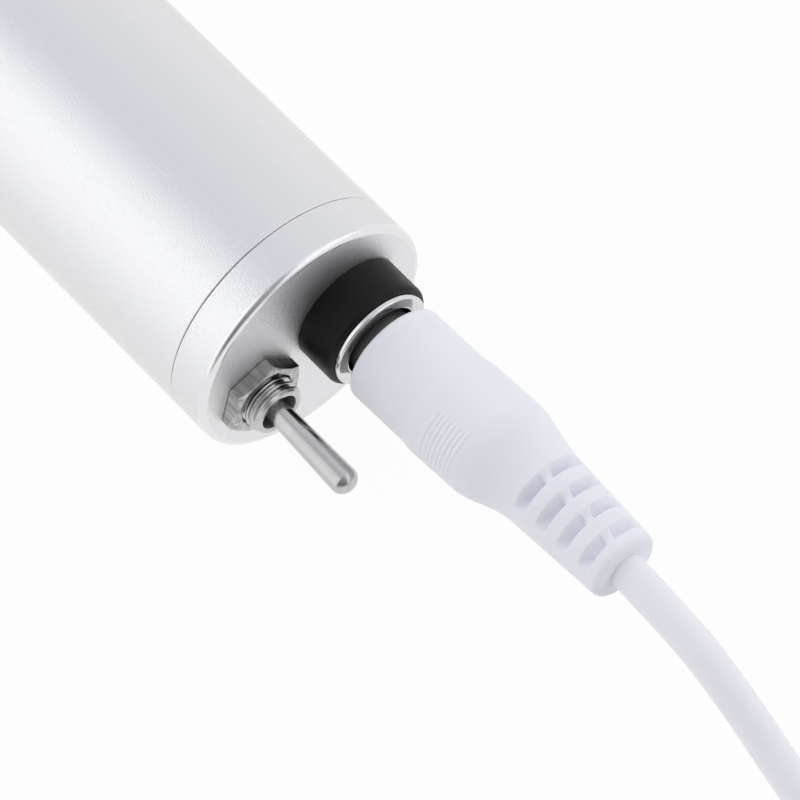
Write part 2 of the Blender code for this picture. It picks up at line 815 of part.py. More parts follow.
def make_armature_core(hang):
    outer = core_radius()
    under_tip = outer - POLE_TIP_THICKNESS
    half = POLE_STEM_WIDTH / 2
    outline = []
    for pole in range(POLE_COUNT):
        middle = 2 * math.pi * pole / POLE_COUNT
        hub_angle = math.asin(half / (HUB_D / 2))
        stem_angle = math.asin(half / under_tip)
        low = middle - POLE_HALF_ANGLE
        high = middle + POLE_HALF_ANGLE
        outline.append(polar(HUB_D / 2, middle - hub_angle))
        outline += arc(under_tip, middle - stem_angle, low, 3)
        outline += arc(outer, low, high, 9)
        outline += arc(under_tip, high, middle + stem_angle, 3)
        outline.append(polar(HUB_D / 2, middle + hub_angle))
    x0 = MOTOR_STATION + CORE_START
    core = prism("armature_core", outline, x0, x0 + CORE_LENGTH, "dark_steel", hang=hang)
    hole_r = SHAFT_D / 2 + FIT_GAP
    hole = [(x0 - OVERRUN, hole_r), (x0 + CORE_LENGTH + OVERRUN, hole_r)]
    cut(core, turned("shaft_hole", hole, None, sides=INNER_SIDES, hang=hang))


def winding_loop(radial, half_length, half_width, corner, middle):
    """A rectangle with cut corners across one pole, at a radial height, centred on station middle."""
    flat = [
        (half_length, half_width - corner),
        (half_length - corner, half_width),
        (corner - half_length, half_width),
        (-half_length, half_width - corner),
        (-half_length, corner - half_width),
        (corner - half_length, -half_width),
        (half_length - corner, -half_width),
        (half_length, corner - half_width),
    ]
    return [(middle + x, radial, w) for x, w in flat]


def make_windings(hang):
    low = HUB_D / 2 + SEAT_GAP
    middle = MOTOR_STATION + CORE_START + CORE_LENGTH / 2
    hole_length = CORE_LENGTH / 2 + SEAT_GAP
    hole_width = POLE_STEM_WIDTH / 2 + FIT_GAP
    length = hole_length + WINDING_OVERHANG
    width = hole_width + WINDING_THICKNESS
    under_tip = core_radius() - POLE_TIP_THICKNESS - SEAT_GAP
    high = math.sqrt(under_tip**2 - width**2)
    outside = WINDING_THICKNESS / 2
    inside = SEAT_GAP / 2
    for i in range(POLE_COUNT):
        loops = [
            winding_loop(low, length, width, outside, middle),
            winding_loop(high, length, width, outside, middle),
            winding_loop(high, hole_length, hole_width, inside, middle),
            winding_loop(low, hole_length, hole_width, inside, middle),
        ]
        name = f"motor_winding_{i + 1}"
        winding = add_object(name, mesh_of_loops(name, loops, True), "copper", SEAM, *hang)
        winding.rotation_euler = (2 * math.pi * i / POLE_COUNT, 0, 0)


def make_commutator(hang):
    x0 = MOTOR_STATION + COMMUTATOR_START
    x1 = x0 + COMMUTATOR_LENGTH
    inner = SHAFT_D / 2 + FIT_GAP
    outer = COMMUTATOR_D / 2
    profile = [(x0, inner), (x0, outer), (x1, outer), (x1, inner)]
    turned("commutator", profile, "copper", ring=True, sides=INNER_SIDES, hang=hang)


def make_chuck_arbor(hang):
    """A brass adapter: a taper in the chuck, and a collar that two set screws clamp to the shaft."""
    bore = SHAFT_D / 2 + FIT_GAP
    tip = NOSE_STATION + CHUCK_LENGTH - ARBOR_HOLE_DEPTH + SEAT_GAP
    shoulder = NOSE_STATION + CHUCK_LENGTH + SEAT_GAP
    back = shoulder + ARBOR_COLLAR_LENGTH
    collar = ARBOR_COLLAR_D / 2
    profile = [
        (tip, bore),
        (tip, ARBOR_TIP_D / 2),
        (shoulder, ARBOR_D / 2),
        (shoulder, collar - ARBOR_CHAMFER),
        (shoulder + ARBOR_CHAMFER, collar),
        (back - ARBOR_CHAMFER, collar),
        (back, collar - ARBOR_CHAMFER),
        (back, bore),
    ]
    arbor = turned("chuck_arbor", profile, "brass", ring=True, sides=INNER_SIDES, hang=hang)
    middle = SEAM + Vector((shoulder + ARBOR_COLLAR_LENGTH / 2, 0, 0))
    hole_r = SET_SCREW_D / 2 + FIT_GAP
    hole = turned(
        "set_screw_hole",
        [(-ARBOR_COLLAR_D, hole_r), (ARBOR_COLLAR_D, hole_r)],
        None,
        middle,
        sides=INNER_SIDES,
        hang=hang,
    )
    hole.rotation_euler = (0, math.pi / 2, 0)
    cut(arbor, hole)
    inner = SHAFT_D / 2 + FIT_GAP
    outer = collar - SET_SCREW_SUNK
    socket = SET_SCREW_SOCKET_D / 2
    screw = [
        (inner, SET_SCREW_D / 2),
        (outer, SET_SCREW_D / 2),
        (outer, socket),
        (outer - SET_SCREW_SOCKET_DEPTH, socket),
    ]
    for i, turn in enumerate((-math.pi / 2, math.pi / 2)):
        name = f"set_screw_{i + 1}"
        made = turned(name, screw, "dark_steel", middle, sides=INNER_SIDES, hang=hang)
        made.rotation_euler = (0, turn, 0)


def jaw_line_radius(distance):
    """How far the jaws' centre lines are from the chuck's axis, this far behind its nose."""
    return JAW_LINE_OFFSET + distance * math.tan(JAW_ANGLE)


def jaw_cylinder(name, radius, start, end, turn, finish, hang):
    """A round bar along a jaw's sloping line, for a jaw or its bore, between distances behind the nose."""
    across = Vector((-math.sin(JAW_ANGLE), 0, math.cos(JAW_ANGLE)))
    side = Vector((0, 1, 0))
    loops = []
    for distance in (start, end):
        middle = Vector((NOSE_STATION + distance, 0, jaw_line_radius(distance)))
        loop = []
        for i in range(INNER_SIDES):
            angle = 2 * math.pi * i / INNER_SIDES
            loop.append(middle + radius * (math.cos(angle) * side + math.sin(angle) * across))
        loops.append(loop)
    bar = add_object(name, mesh_of_loops(name, loops, False), finish, SEAM, *hang)
    bar.rotation_euler = (turn, 0, 0)
    return bar


def make_chuck_body(hang):
    nose = NOSE_STATION
    back = nose + CHUCK_LENGTH
    core = CHUCK_CORE_D / 2
    collar = COLLAR_D / 2
    groove = NUT_GROOVE_D / 2
    groove_start = nose + NUT_START - SEAT_GAP
    groove_end = nose + NUT_START + NUT_LENGTH + SEAT_GAP
    collar_start = back - COLLAR_LENGTH
    profile = [
        (nose + BIT_HOLE_DEPTH, BIT_HOLE_D / 2),
        (nose, BIT_HOLE_D / 2),
        (nose, NOSE_D / 2 - NOSE_CHAMFER),
        (nose + NOSE_CHAMFER, NOSE_D / 2),
        (nose + NOSE_CONE_LENGTH, core),
        (groove_start, core),
        (groove_start, groove),
        (groove_end, groove),
        (groove_end, core),
        (collar_start, core),
        (collar_start, collar - COLLAR_CHAMFER),
        (collar_start + COLLAR_CHAMFER, collar),
        (back - COLLAR_CHAMFER, collar),
        (back, collar - COLLAR_CHAMFER),
        (back, ARBOR_D / 2 + SEAT_GAP),
        (back - ARBOR_HOLE_DEPTH, ARBOR_TIP_D / 2 + SEAT_GAP),
    ]
    body = turned("chuck_body", profile, "bright_steel", hang=hang)
    key_middle = SEAM + Vector((back - KEY_HOLE_FROM_REAR, 0, 0))
    key_hole = [(collar - KEY_HOLE_DEPTH, KEY_HOLE_D / 2), (collar + OVERRUN, KEY_HOLE_D / 2)]
    for i in range(JAW_COUNT):
        turn = 2 * math.pi * i / JAW_COUNT
        bore = JAW_D / 2 + JAW_BORE_GAP
        cut(body, jaw_cylinder("jaw_bore", bore, -2 * OVERRUN, JAW_BORE_DEPTH, turn, None, hang))
        hole = turned("key_hole", key_hole, None, key_middle, sides=INNER_SIDES, hang=hang)
        spread = turn + math.pi / JAW_COUNT
        hole.rotation_mode = "QUATERNION"
        hole.rotation_quaternion = Vector((1, 0, 0)).rotation_difference(
            Vector((0, -math.sin(spread), math.cos(spread)))
        )
        cut(body, hole)
    return body


def make_chuck_sleeve(hang):
    """The ring that the key turns. Its rear edge has the bevel teeth."""
    sides = 2 * SLEEVE_TEETH
    front = NOSE_STATION + SLEEVE_START
    back = NOSE_STATION + CHUCK_LENGTH - COLLAR_LENGTH - SLEEVE_RUN_GAP
    inner = CHUCK_CORE_D / 2 + SLEEVE_RUN_GAP
    outer = SLEEVE_D / 2
    loops = [
        circle(front, inner, sides),
        circle(front, SLEEVE_FRONT_D / 2, sides),
        circle(front + SLEEVE_FRONT_TAPER, outer, sides),
        circle(back - 2 * TOOTH_HEIGHT, outer, sides),
    ]
    rim = circle(back - TOOTH_HEIGHT, outer - TOOTH_HEIGHT / 2, sides)
    loops.append([(x + (TOOTH_HEIGHT if i % 2 else 0), y, z) for i, (x, y, z) in enumerate(rim)])
    loops.append(circle(back, inner + TOOTH_HEIGHT / 2, sides))
    loops.append(circle(back, inner, sides))
    add_object("chuck_sleeve", mesh_of_loops("chuck_sleeve", loops, True), "bright_steel", SEAM, *hang)


def make_chuck_nut(hang):
    """The nut inside the sleeve, whose cone-shaped thread drives the jaws."""
    front = NUT_START
    back = NUT_START + NUT_LENGTH
    over_jaw = JAW_D / 2 / math.cos(JAW_ANGLE) + SEAT_GAP
    outer = CHUCK_CORE_D / 2
    profile = [
        (NOSE_STATION + front, jaw_line_radius(front) + over_jaw),
        (NOSE_STATION + front, outer),
        (NOSE_STATION + back, outer),
        (NOSE_STATION + back, jaw_line_radius(back) + over_jaw),
    ]
    turned("chuck_nut", profile, "dark_steel", ring=True, hang=hang)


def slice_mesh(bm, point, normal):
    """Cuts away what lies on the side that the normal points to, and closes the cut."""
    everything = [*bm.verts, *bm.edges, *bm.faces]
    made = bmesh.ops.bisect_plane(
        bm, geom=everything, plane_co=point, plane_no=normal, clear_outer=True, dist=0
    )
    rim = [item for item in made["geom_cut"] if isinstance(item, bmesh.types.BMEdge)]
    bmesh.ops.edgeloop_fill(bm, edges=rim)


def make_jaws(spindle):
    """Three jaws, drawn shut. Each slides back and out along its own sloping bore."""
    for i in range(JAW_COUNT):
        name = f"jaw_{i + 1}"
        turn = 2 * math.pi * i / JAW_COUNT
        front = -JAW_REACH
        end = front + JAW_LENGTH
        line = SEAM + Vector((NOSE_STATION, 0, 0))
        empty = axis_empty(f"{name}_line", line, spindle[0])
        jaw = jaw_cylinder(
            name, JAW_D / 2, front - JAW_D, end + JAW_D, turn, "dark_steel", (empty, line)
        )
        bm = bmesh.new()
        bm.from_mesh(jaw.data)
        slice_mesh(bm, (NOSE_STATION + front, 0, 0), (-1, 0, 0))
        slice_mesh(bm, (NOSE_STATION + end, 0, 0), (1, 0, 0))
        for side in (1, -1):
            edge = side * math.pi / JAW_COUNT
            normal = Vector((0, side * math.cos(edge), -abs(math.sin(edge))))
            slice_mesh(bm, -normal * JAW_MEET_GAP / 2, normal)
        old = jaw.data
        jaw.data = finish_mesh(name, bm)
        jaw.data.materials.append(material("dark_steel"))
        bpy.data.meshes.remove(old)


# Toggle switch
def make_switch_bushing():
    """The threaded bushing with the switch's steel frame plate, one piece."""
    outer = BUSHING_D / 2
    root = outer - THREAD_DEPTH
    bore = BUSHING_BORE_D / 2
    end = REAR_CAP_THICKNESS + BUSHING_OUT
    plate_front = CASE_FRONT + FLAT_GAP + FRAME_THICKNESS
    thread_end = end - BUSHING_CHAMFER
    profile = [(plate_front, bore), (plate_front, root)]
    for turn in range(THREAD_TURNS, 0, -1):
        start = thread_end - turn * THREAD_PITCH
        profile.append((start, root))
        profile += [(start + THREAD_PITCH * share, outer) for share in THREAD_CREST_SHARES]
    profile += [(thread_end, root), (end, BUSHING_END_D / 2 - FIT_GAP), (end, bore)]
    bushing = turned("switch_bushing", profile, "nickel", SWITCH, ring=True, sides=SMALL_SIDES)
    half_length = CASE_LENGTH / 2
    half_width = CASE_WIDTH / 2
    plate = block(
        "switch_frame",
        (CASE_FRONT + FLAT_GAP, plate_front - FLAT_GAP),
        (-half_width, half_width),
        (-half_length, half_length),
        "nickel",
        SWITCH,
    )
    hole = [(CASE_FRONT - OVERRUN, bore), (OVERRUN, bore)]
    cut(plate, turned("frame_hole", hole, None, SWITCH, sides=SMALL_SIDES))
    return bushing


def make_switch_nut():
    hex_nut(
        "switch_nut",
        REAR_CAP_THICKNESS + FLAT_GAP,
        SWITCH_NUT_THICKNESS,
        SWITCH_NUT_ACROSS_FLATS,
        BUSHING_D + 2 * FIT_GAP,
        SWITCH_NUT_CHAMFER,
        "nickel",
        SWITCH,
    )


def make_switch_washer():
    x1 = -SEAT_GAP
    x0 = x1 - WASHER_THICKNESS
    inner = BUSHING_D / 2 + SEAT_GAP
    outer = WASHER_D / 2
    limit = CASE_WIDTH / 2
    profile = [(x0, inner), (x0, outer), (x1, outer), (x1, inner)]
    washer = turned("switch_washer", profile, "nickel", SWITCH, ring=True, sides=SMALL_SIDES)
    for side in (1, -1):
        span = sorted((side * (limit + SEAT_GAP), side * (outer + OVERRUN)))
        trim = block("washer_trim", (x0 - OVERRUN, x1 + OVERRUN), span, (-outer, outer), None, SWITCH)
        cut(washer, trim)


def make_switch_case():
    half_length = CASE_LENGTH / 2
    half_width = CASE_WIDTH / 2
    case = block(
        "switch_case",
        (CASE_BACK, CASE_FRONT),
        (-half_width, half_width),
        (-half_length, half_length),
        "blue_plastic",
        SWITCH,
    )
    inner_length = half_length - CASE_WALL
    inner_width = half_width - CASE_WALL
    cavity = block(
        "case_cavity",
        (CASE_BACK + CASE_FLOOR, CASE_FRONT + OVERRUN),
        (-inner_width, inner_width),
        (-inner_length, inner_length),
        None,
        SWITCH,
    )
    cut(case, cavity)
    hole_width = SWITCH_TERMINAL_WIDTH / 2 + FIT_GAP
    hole_height = SWITCH_TERMINAL_THICKNESS / 2 + FIT_GAP
    for z in terminal_heights():
        slot = block(
            "terminal_slot",
            (CASE_BACK - OVERRUN, CASE_BACK + CASE_FLOOR + OVERRUN),
            (-hole_width, hole_width),
            (z - hole_height, z + hole_height),
            None,
            SWITCH,
        )
        cut(case, slot)


def terminal_heights():
    return (0, -SWITCH_TERMINAL_SPACING)


def make_switch_terminals():
    """The common terminal rises inside as the see-saw's fulcrum. The other lies under one of its ends."""
    half_width = SWITCH_TERMINAL_WIDTH / 2
    half_height = SWITCH_TERMINAL_THICKNESS / 2
    floor = CASE_BACK + CASE_FLOOR
    for i, (z, rise) in enumerate(zip(terminal_heights(), (ROCKER_THICKNESS, FLAT_GAP))):
        block(
            f"switch_terminal_{i + 1}",
            (CASE_BACK - SWITCH_TERMINAL_LENGTH, floor + rise),
            (-half_width, half_width),
            (z - half_height, z + half_height),
            "brass",
            SWITCH,
        )


def make_toggle_lever():
    """The bat lever on its ball, with the thin tail that works the contact."""
    pivot = SWITCH + Vector((PIVOT_STATION, 0, 0))
    empty = axis_empty("lever_pivot", pivot)
    ball = LEVER_BALL_D / 2
    tail = LEVER_TAIL_D / 2
    first = -math.acos(tail / ball)
    last = math.acos(LEVER_ROOT_D / 2 / ball)
    angles = [first + (last - first) * i / BALL_STEPS for i in range(BALL_STEPS + 1)]
    profile = [
        (-LEVER_TAIL_LENGTH, tail),
        *[(ball * math.sin(a), ball * math.cos(a)) for a in angles],
        (LEVER_LENGTH - LEVER_TIP_BEVEL, LEVER_TIP_D / 2),
        (LEVER_LENGTH, LEVER_END_R),
    ]
    lever = turned("toggle_lever", profile, "nickel", pivot, sides=SMALL_SIDES, hang=(empty, pivot))
    lever.rotation_euler = (0, LEVER_TILT, 0)


def rocker_pivot():
    return SWITCH + Vector((CASE_BACK + CASE_FLOOR + SEAT_GAP + ROCKER_THICKNESS, 0, 0))


def make_switch_rocker():
    """The see-saw contact in the case. The lever's tail tips it from one end to the other."""
    pivot = rocker_pivot()
    empty = axis_empty("rocker_pivot", pivot)
    half_length = ROCKER_LENGTH / 2
    half_width = ROCKER_WIDTH / 2
    rocker = block(
        "switch_rocker",
        (0, ROCKER_THICKNESS),
        (-half_width, half_width),
        (-half_length, half_length),
        "copper",
        pivot,
        (empty, pivot),
    )
    rocker.rotation_euler = (0, -ROCKER_TILT, 0)


# Power socket
def make_jack_body():
    bore = RING_BORE_D / 2 + RING_SLEEVE_WALL + FIT_GAP
    neck = JACK_NECK_D / 2
    outer = JACK_D / 2
    seat = REAR_CAP_THICKNESS + FLAT_GAP
    face = REAR_CAP_THICKNESS + JACK_PROUD
    fillet = [
        (
            face - JACK_FILLET + JACK_FILLET * math.sin(a),
            outer - JACK_FILLET + JACK_FILLET * math.cos(a),
        )
        for a in (0, math.pi / 4, math.pi / 2)
    ]
    profile = [(-JACK_BACK, bore), (-JACK_BACK, neck), (seat, neck), (seat, outer), *fillet, (face, bore)]
    turned("jack_body", profile, "black_plastic", JACK, ring=True)


def make_jack_nut():
    hex_nut(
        "jack_nut",
        -JACK_NUT_THICKNESS - FLAT_GAP,
        JACK_NUT_THICKNESS,
        JACK_NUT_ACROSS_FLATS,
        JACK_NECK_D + 2 * FIT_GAP,
        RING_BEVEL,
        "nickel",
        JACK,
        math.pi / 2,
    )


def make_jack_ring():
    """The plated outer contact, whose flange shows as a bright ring in the socket's mouth."""
    inner = RING_BORE_D / 2
    sleeve = inner + RING_SLEEVE_WALL
    outer = RING_D / 2
    seat = REAR_CAP_THICKNESS + JACK_PROUD + FLAT_GAP
    face = seat + RING_FLANGE
    profile = [
        (-RING_BACK, inner),
        (-RING_BACK, sleeve),
        (seat, sleeve),
        (seat, outer),
        (face - RING_BEVEL, outer),
        (face, outer - RING_BEVEL),
        (face, inner + RING_BEVEL),
        (face - RING_BEVEL, inner),
    ]
    turned("jack_ring", profile, "chrome", JACK, ring=True)


def make_jack_core():
    outer = CORE_D / 2
    bore = CORE_BORE_D / 2
    pin_hole = PIN_D / 2 + FIT_GAP
    floor = CORE_BACK + CORE_FLOOR
    profile = [
        (CORE_BACK, pin_hole),
        (CORE_BACK, outer),
        (CORE_FRONT, outer),
        (CORE_FRONT, bore),
        (floor, bore),
        (floor, pin_hole),
    ]
    core = turned("jack_core", profile, "grey_plastic", JACK, ring=True, sides=SMALL_SIDES)
    half = CONTACT_WIDTH / 2 + FIT_GAP
    low, high = contact_span()
    slot = block(
        "contact_slot",
        (CORE_BACK - OVERRUN, CORE_BACK + CONTACT_LENGTH + FIT_GAP),
        (-half, half),
        (low - 2 * FIT_GAP, high + OVERRUN),
        None,
        JACK,
    )
    cut(core, slot)


def contact_span():
    """How far the spring contact lies from the socket's axis."""
    low = CORE_BORE_D / 2 + FIT_GAP / 2
    return low, low + CONTACT_THICKNESS


def make_jack_contact():
    half = CONTACT_WIDTH / 2
    low, high = contact_span()
    block(
        "jack_contact",
        (CORE_BACK - PIN_TAIL, CORE_BACK + CONTACT_LENGTH),
        (-half, half),
        (low, high),
        "brass",
        JACK,
    )


def make_jack_pin():
    r = PIN_D / 2
    end = CORE_FRONT - PIN_SHORT
    profile = [(CORE_BACK - PIN_TAIL, r), (end - PIN_TIP, r), (end, r - PIN_TIP)]
    turned("jack_pin", profile, "brass", JACK, sides=SMALL_SIDES)


# Wires inside the housing
def make_wires():
    """Three wires, each starting and ending just short of the tab that it is soldered to."""
    motor_x = terminal_end() + SEAT_GAP
    switch_x = CASE_BACK - SWITCH_TERMINAL_LENGTH - SEAT_GAP
    jack_x = CORE_BACK - PIN_TAIL - SEAT_GAP
    tab_red = SEAM + Vector((motor_x, -TERMINAL_OFFSET, 0))
    tab_black = SEAM + Vector((motor_x, TERMINAL_OFFSET, 0))
    low, high = contact_span()
    jack_plus = JACK + Vector((jack_x, 0, 0))
    jack_minus = JACK + Vector((jack_x, 0, (low + high) / 2))
    switch_in, switch_out = (SWITCH + Vector((switch_x, 0, z)) for z in terminal_heights())
    down = Vector((0, 0, -WIRE_SLACK))
    forward = Vector((-WIRE_BOW, 0, 0))
    red = wire_route(tab_red, switch_out, down)
    black = wire_route(tab_black, jack_minus, -down)
    link = wire_route(jack_plus, switch_in, forward)
    tube("wire_motor_red", red, WIRE_D, WIRE_SIDES_RESOLUTION, "red_wire")
    tube("wire_motor_black", black, WIRE_D, WIRE_SIDES_RESOLUTION, "black_wire")
    tube("wire_jack_red", link, WIRE_D, WIRE_SIDES_RESOLUTION, "red_wire")


def wire_route(start, end, bow):
    """Leaves and arrives along X, shifts sideways between, and bows out in the middle with its slack."""
    points = []
    for i in range(WIRE_POINTS + 1):
        t = i / WIRE_POINTS
        side = start.lerp(end, (1 - math.cos(math.pi * t)) / 2)
        out = bow * (math.sin(math.pi * t) if bow.x else math.sin(math.pi * t) ** 2)
        points.append(Vector((start.x + (end.x - start.x) * t, side.y, side.z)) + out)
    return points


# Plug and lead
def moulding_stations():
    """(distance behind the plug's front, radius, sidestep) down the moulding; the rear half bends aside."""
    front_r = MOULDING_FRONT_D / 2
    grip_r = MOULDING_GRIP_D / 2
    neck_r = MOULDING_NECK_D / 2
    end_r = MOULDING_END_D / 2
    grip_to_neck = grip_r - neck_r
    rim_share = 0.955
    length_shares = (0, 0.009, 0.235, 0.262, 0.455, 0.497, 0.539, 0.581, 0.623, 0.650)
    sidestep_shares = (0, 0, 0.20, 0.25, 0.60, 0.72, 0.86, 0.96, 1, 1)
    drop_shares = (0, 0, 0, 0, 0, 0.16, 0.47, 0.76, 0.95, 1)
    stations = []
    for i, (along, aside, drop) in enumerate(zip(length_shares, sidestep_shares, drop_shares)):
        radius = front_r if i < 3 else grip_r - grip_to_neck * drop
        if i == 0:
            radius = front_r * rim_share
        stations.append((MOULDING_LENGTH * along, radius, MOULDING_SIDESTEP * aside))
    end_shares = ((0.972, 1.0), (0.992, 0.93), (1.0, 0.80))
    for along, size in end_shares:
        stations.append((MOULDING_LENGTH * along, end_r * size, MOULDING_SIDESTEP))
    cord_hole = CORD_D / 2 + SEAT_GAP
    for along in (MOULDING_LENGTH, MOULDING_LENGTH - CORD_SEAT_DEPTH):
        stations.append((along, cord_hole, MOULDING_SIDESTEP))
    return stations


def make_plug_moulding(hang):
    """The white moulding: grip, taper and a strain relief with windows between its rings."""
    hole = PLUG_BARREL_D / 2 + SEAT_GAP
    loops = [circle(x, hole, MIDDLE_SIDES) for x in (PLUG_FRONT + PLUG_BARREL_ROOT, PLUG_FRONT)]
    for along, radius, aside in moulding_stations():
        loop = circle(PLUG_FRONT + along, radius, MIDDLE_SIDES)
        loops.append([(x, y + aside, z) for x, y, z in loop])
    name = "plug_moulding"
    moulding = add_object(name, mesh_of_loops(name, loops, False), "white_vinyl", JACK, *hang)
    cut(moulding, window_cutters(hang))


def window_cutters(hang):
    """One body for each window: a quarter of a ring between two spines, for each gap between rings."""
    bm = bmesh.new()
    core = WINDOW_CORE_D / 2
    outer = MOULDING_GRIP_D
    core_edge = math.asin(SPINE_WIDTH / 2 / core)
    outer_edge = math.asin(SPINE_WIDTH / 2 / outer)
    quarter = math.pi / 2
    for gap in range(WINDOW_COUNT):
        x0 = PLUG_FRONT + WINDOW_START + gap * WINDOW_PITCH
        for k in range(4):
            middle = k * quarter + WINDOW_TURN
            outline = [
                *arc(core, middle + core_edge, middle + quarter - core_edge, 4),
                *arc(outer, middle + quarter - outer_edge, middle + outer_edge, 4),
            ]
            rows = []
            for x in (x0, x0 + WINDOW_WIDTH):
                rows.append([bm.verts.new((x, y + MOULDING_SIDESTEP, z)) for y, z in outline])
            for i in range(len(outline)):
                j = (i + 1) % len(outline)
                bm.faces.new((rows[0][i], rows[0][j], rows[1][j], rows[1][i]))
            bm.faces.new(rows[0])
            bm.faces.new(rows[1])
    return add_object("relief_windows", finish_mesh("relief_windows", bm), None, JACK, *hang)


def make_plug_contacts(hang):
    """The plug's plated barrel and the insulated inner contact that takes the socket's pin."""
    outer = PLUG_BARREL_D / 2
    wall = outer - PLUG_BARREL_WALL
    tip = PLUG_FRONT - PLUG_BARREL_LENGTH
    root = PLUG_FRONT + PLUG_BARREL_ROOT - SEAT_GAP
    barrel = [
        (tip, wall),
        (tip, outer - PLUG_BARREL_LEAD),
        (tip + PLUG_BARREL_LEAD, outer),
        (root, outer),
        (root, wall),
    ]
    turned("plug_barrel", barrel, "chrome", JACK, ring=True, sides=SMALL_SIDES, hang=hang)
    bore = PLUG_BORE_D / 2
    middle = bore + PLUG_INSULATOR_WALL
    insulator = [(tip, bore), (tip, middle), (root, middle), (root, bore)]
    turned("plug_inner_contact", insulator, "brass", JACK, ring=True, sides=SMALL_SIDES, hang=hang)


def lead_points():
    """The lead's own points, from the plug's strain relief to the hank."""
    return [Vector((SEAM_X + x, y, z)) for x, y, z in LEAD_ROUTE]


def hank_corner():
    """The middle of the hank's folds that are nearer the plug."""
    return Vector((SEAM_X + HANK_NEAR_STATION, HANK_ASIDE, 0))


def connector_z():
    """The height of the connector's axis. It lies on the hank, over the tie."""
    return HANK_TOP_Z + TIE_GAP + TIE_THICKNESS + FIT_GAP + USB_HEIGHT / 2


def fold(middle, radius, side, z0, z1):
    """Half a turn, clockwise seen from above, on the far side (1) or the near side (-1), between two heights."""
    points = []
    for i in range(HANK_FOLD_POINTS + 1):
        turn = math.pi * i / HANK_FOLD_POINTS
        height = z0 + (z1 - z0) * (1 - math.cos(turn)) / 2
        way = side * radius * Vector((math.sin(turn), math.cos(turn), 0))
        points.append(middle + way + Vector((0, 0, height)))
    return points


def hank_points():
    """Six turns in two columns and three layers. Each changes column or layer in its near fold."""
    near = hank_corner()
    far = near + Vector((HANK_RUN, 0, 0))
    radii = [HANK_INNER_R + HANK_STEP * column for column, _, _ in HANK_TURNS]
    heights = [HANK_LOW_Z + HANK_STEP * layer for _, layer, _ in HANK_TURNS]
    radii.append(HANK_INNER_R)
    heights.append(connector_z())
    points = [lead_points()[-1] + Vector((SEAT_GAP, 0, 0))]
    for i, (_, _, steps) in enumerate(HANK_TURNS):
        points += fold(far, radii[i], 1, heights[i], heights[i])
        radius = (radii[i] + radii[i + 1]) / 2
        reach = HANK_INNER_R + HANK_STEP * steps
        middle = near + Vector((radius - reach, radii[i + 1] - radius, 0))
        points += fold(middle, radius, -1, heights[i], heights[i + 1])
    return [*points, points[-1] + Vector((TAIL_LENGTH, 0, 0))]


def least_gap(points, diameter):
    """The least gap of one tube to itself, on samples along it, not counting those that follow closely."""
    samples = []
    for a, b in zip(points, points[1:]):
        count = math.ceil((b - a).length / GAP_SAMPLE)
        samples += [a.lerp(b, i / count) for i in range(count)]
    least = math.inf
    skip = round(math.pi * diameter / GAP_SAMPLE)
    for i, sample in enumerate(samples):
        for other in samples[i + skip :]:
            least = min(least, (sample - other).length - diameter)
    return least


def route_length(points):
    return sum((b - a).length for a, b in zip(points, points[1:]))


def make_lead(hang):
    lead = smooth_path(lead_points(), 2)
    coil = hank_points()
    tube("cord", lead, CORD_D, 2, "white_vinyl", hang)
    tube("cord_coil", coil, CORD_D, 1, "white_vinyl", hang)
    print("least gap between the hank's turns:", round(least_gap(lead + coil, CORD_D), 5))
    print("length of the cord and its hank:", round(route_length(lead) + route_length(coil), 4))


def make_cord_tie(hang):
    """A strap round all the hank's runs, halfway along it."""
    width = 2 * (HANK_INNER_R + HANK_STEP) + CORD_D + 2 * TIE_GAP
    height = HANK_TOP_Z - HANK_FLOOR_SPACE + 2 * TIE_GAP
    centre = hank_corner() + Vector((HANK_RUN / 2, 0, (HANK_TOP_Z + HANK_FLOOR_SPACE) / 2))
    thick = 2 * TIE_THICKNESS
    inside = rounded_rectangle(width, height, TIE_CORNER)
    outside = rounded_rectangle(width + thick, height + thick, TIE_CORNER + TIE_THICKNESS)
    half = TIE_WIDTH / 2
    loops = []
    for (iy, iz), (oy, oz) in zip(inside, outside):
        loops.append([(-half, iy, iz), (half, iy, iz), (half, oy, oz), (-half, oy, oz)])
    name = "cord_tie"
    add_object(name, mesh_of_loops(name, loops, True), "black_plastic", centre, *hang)


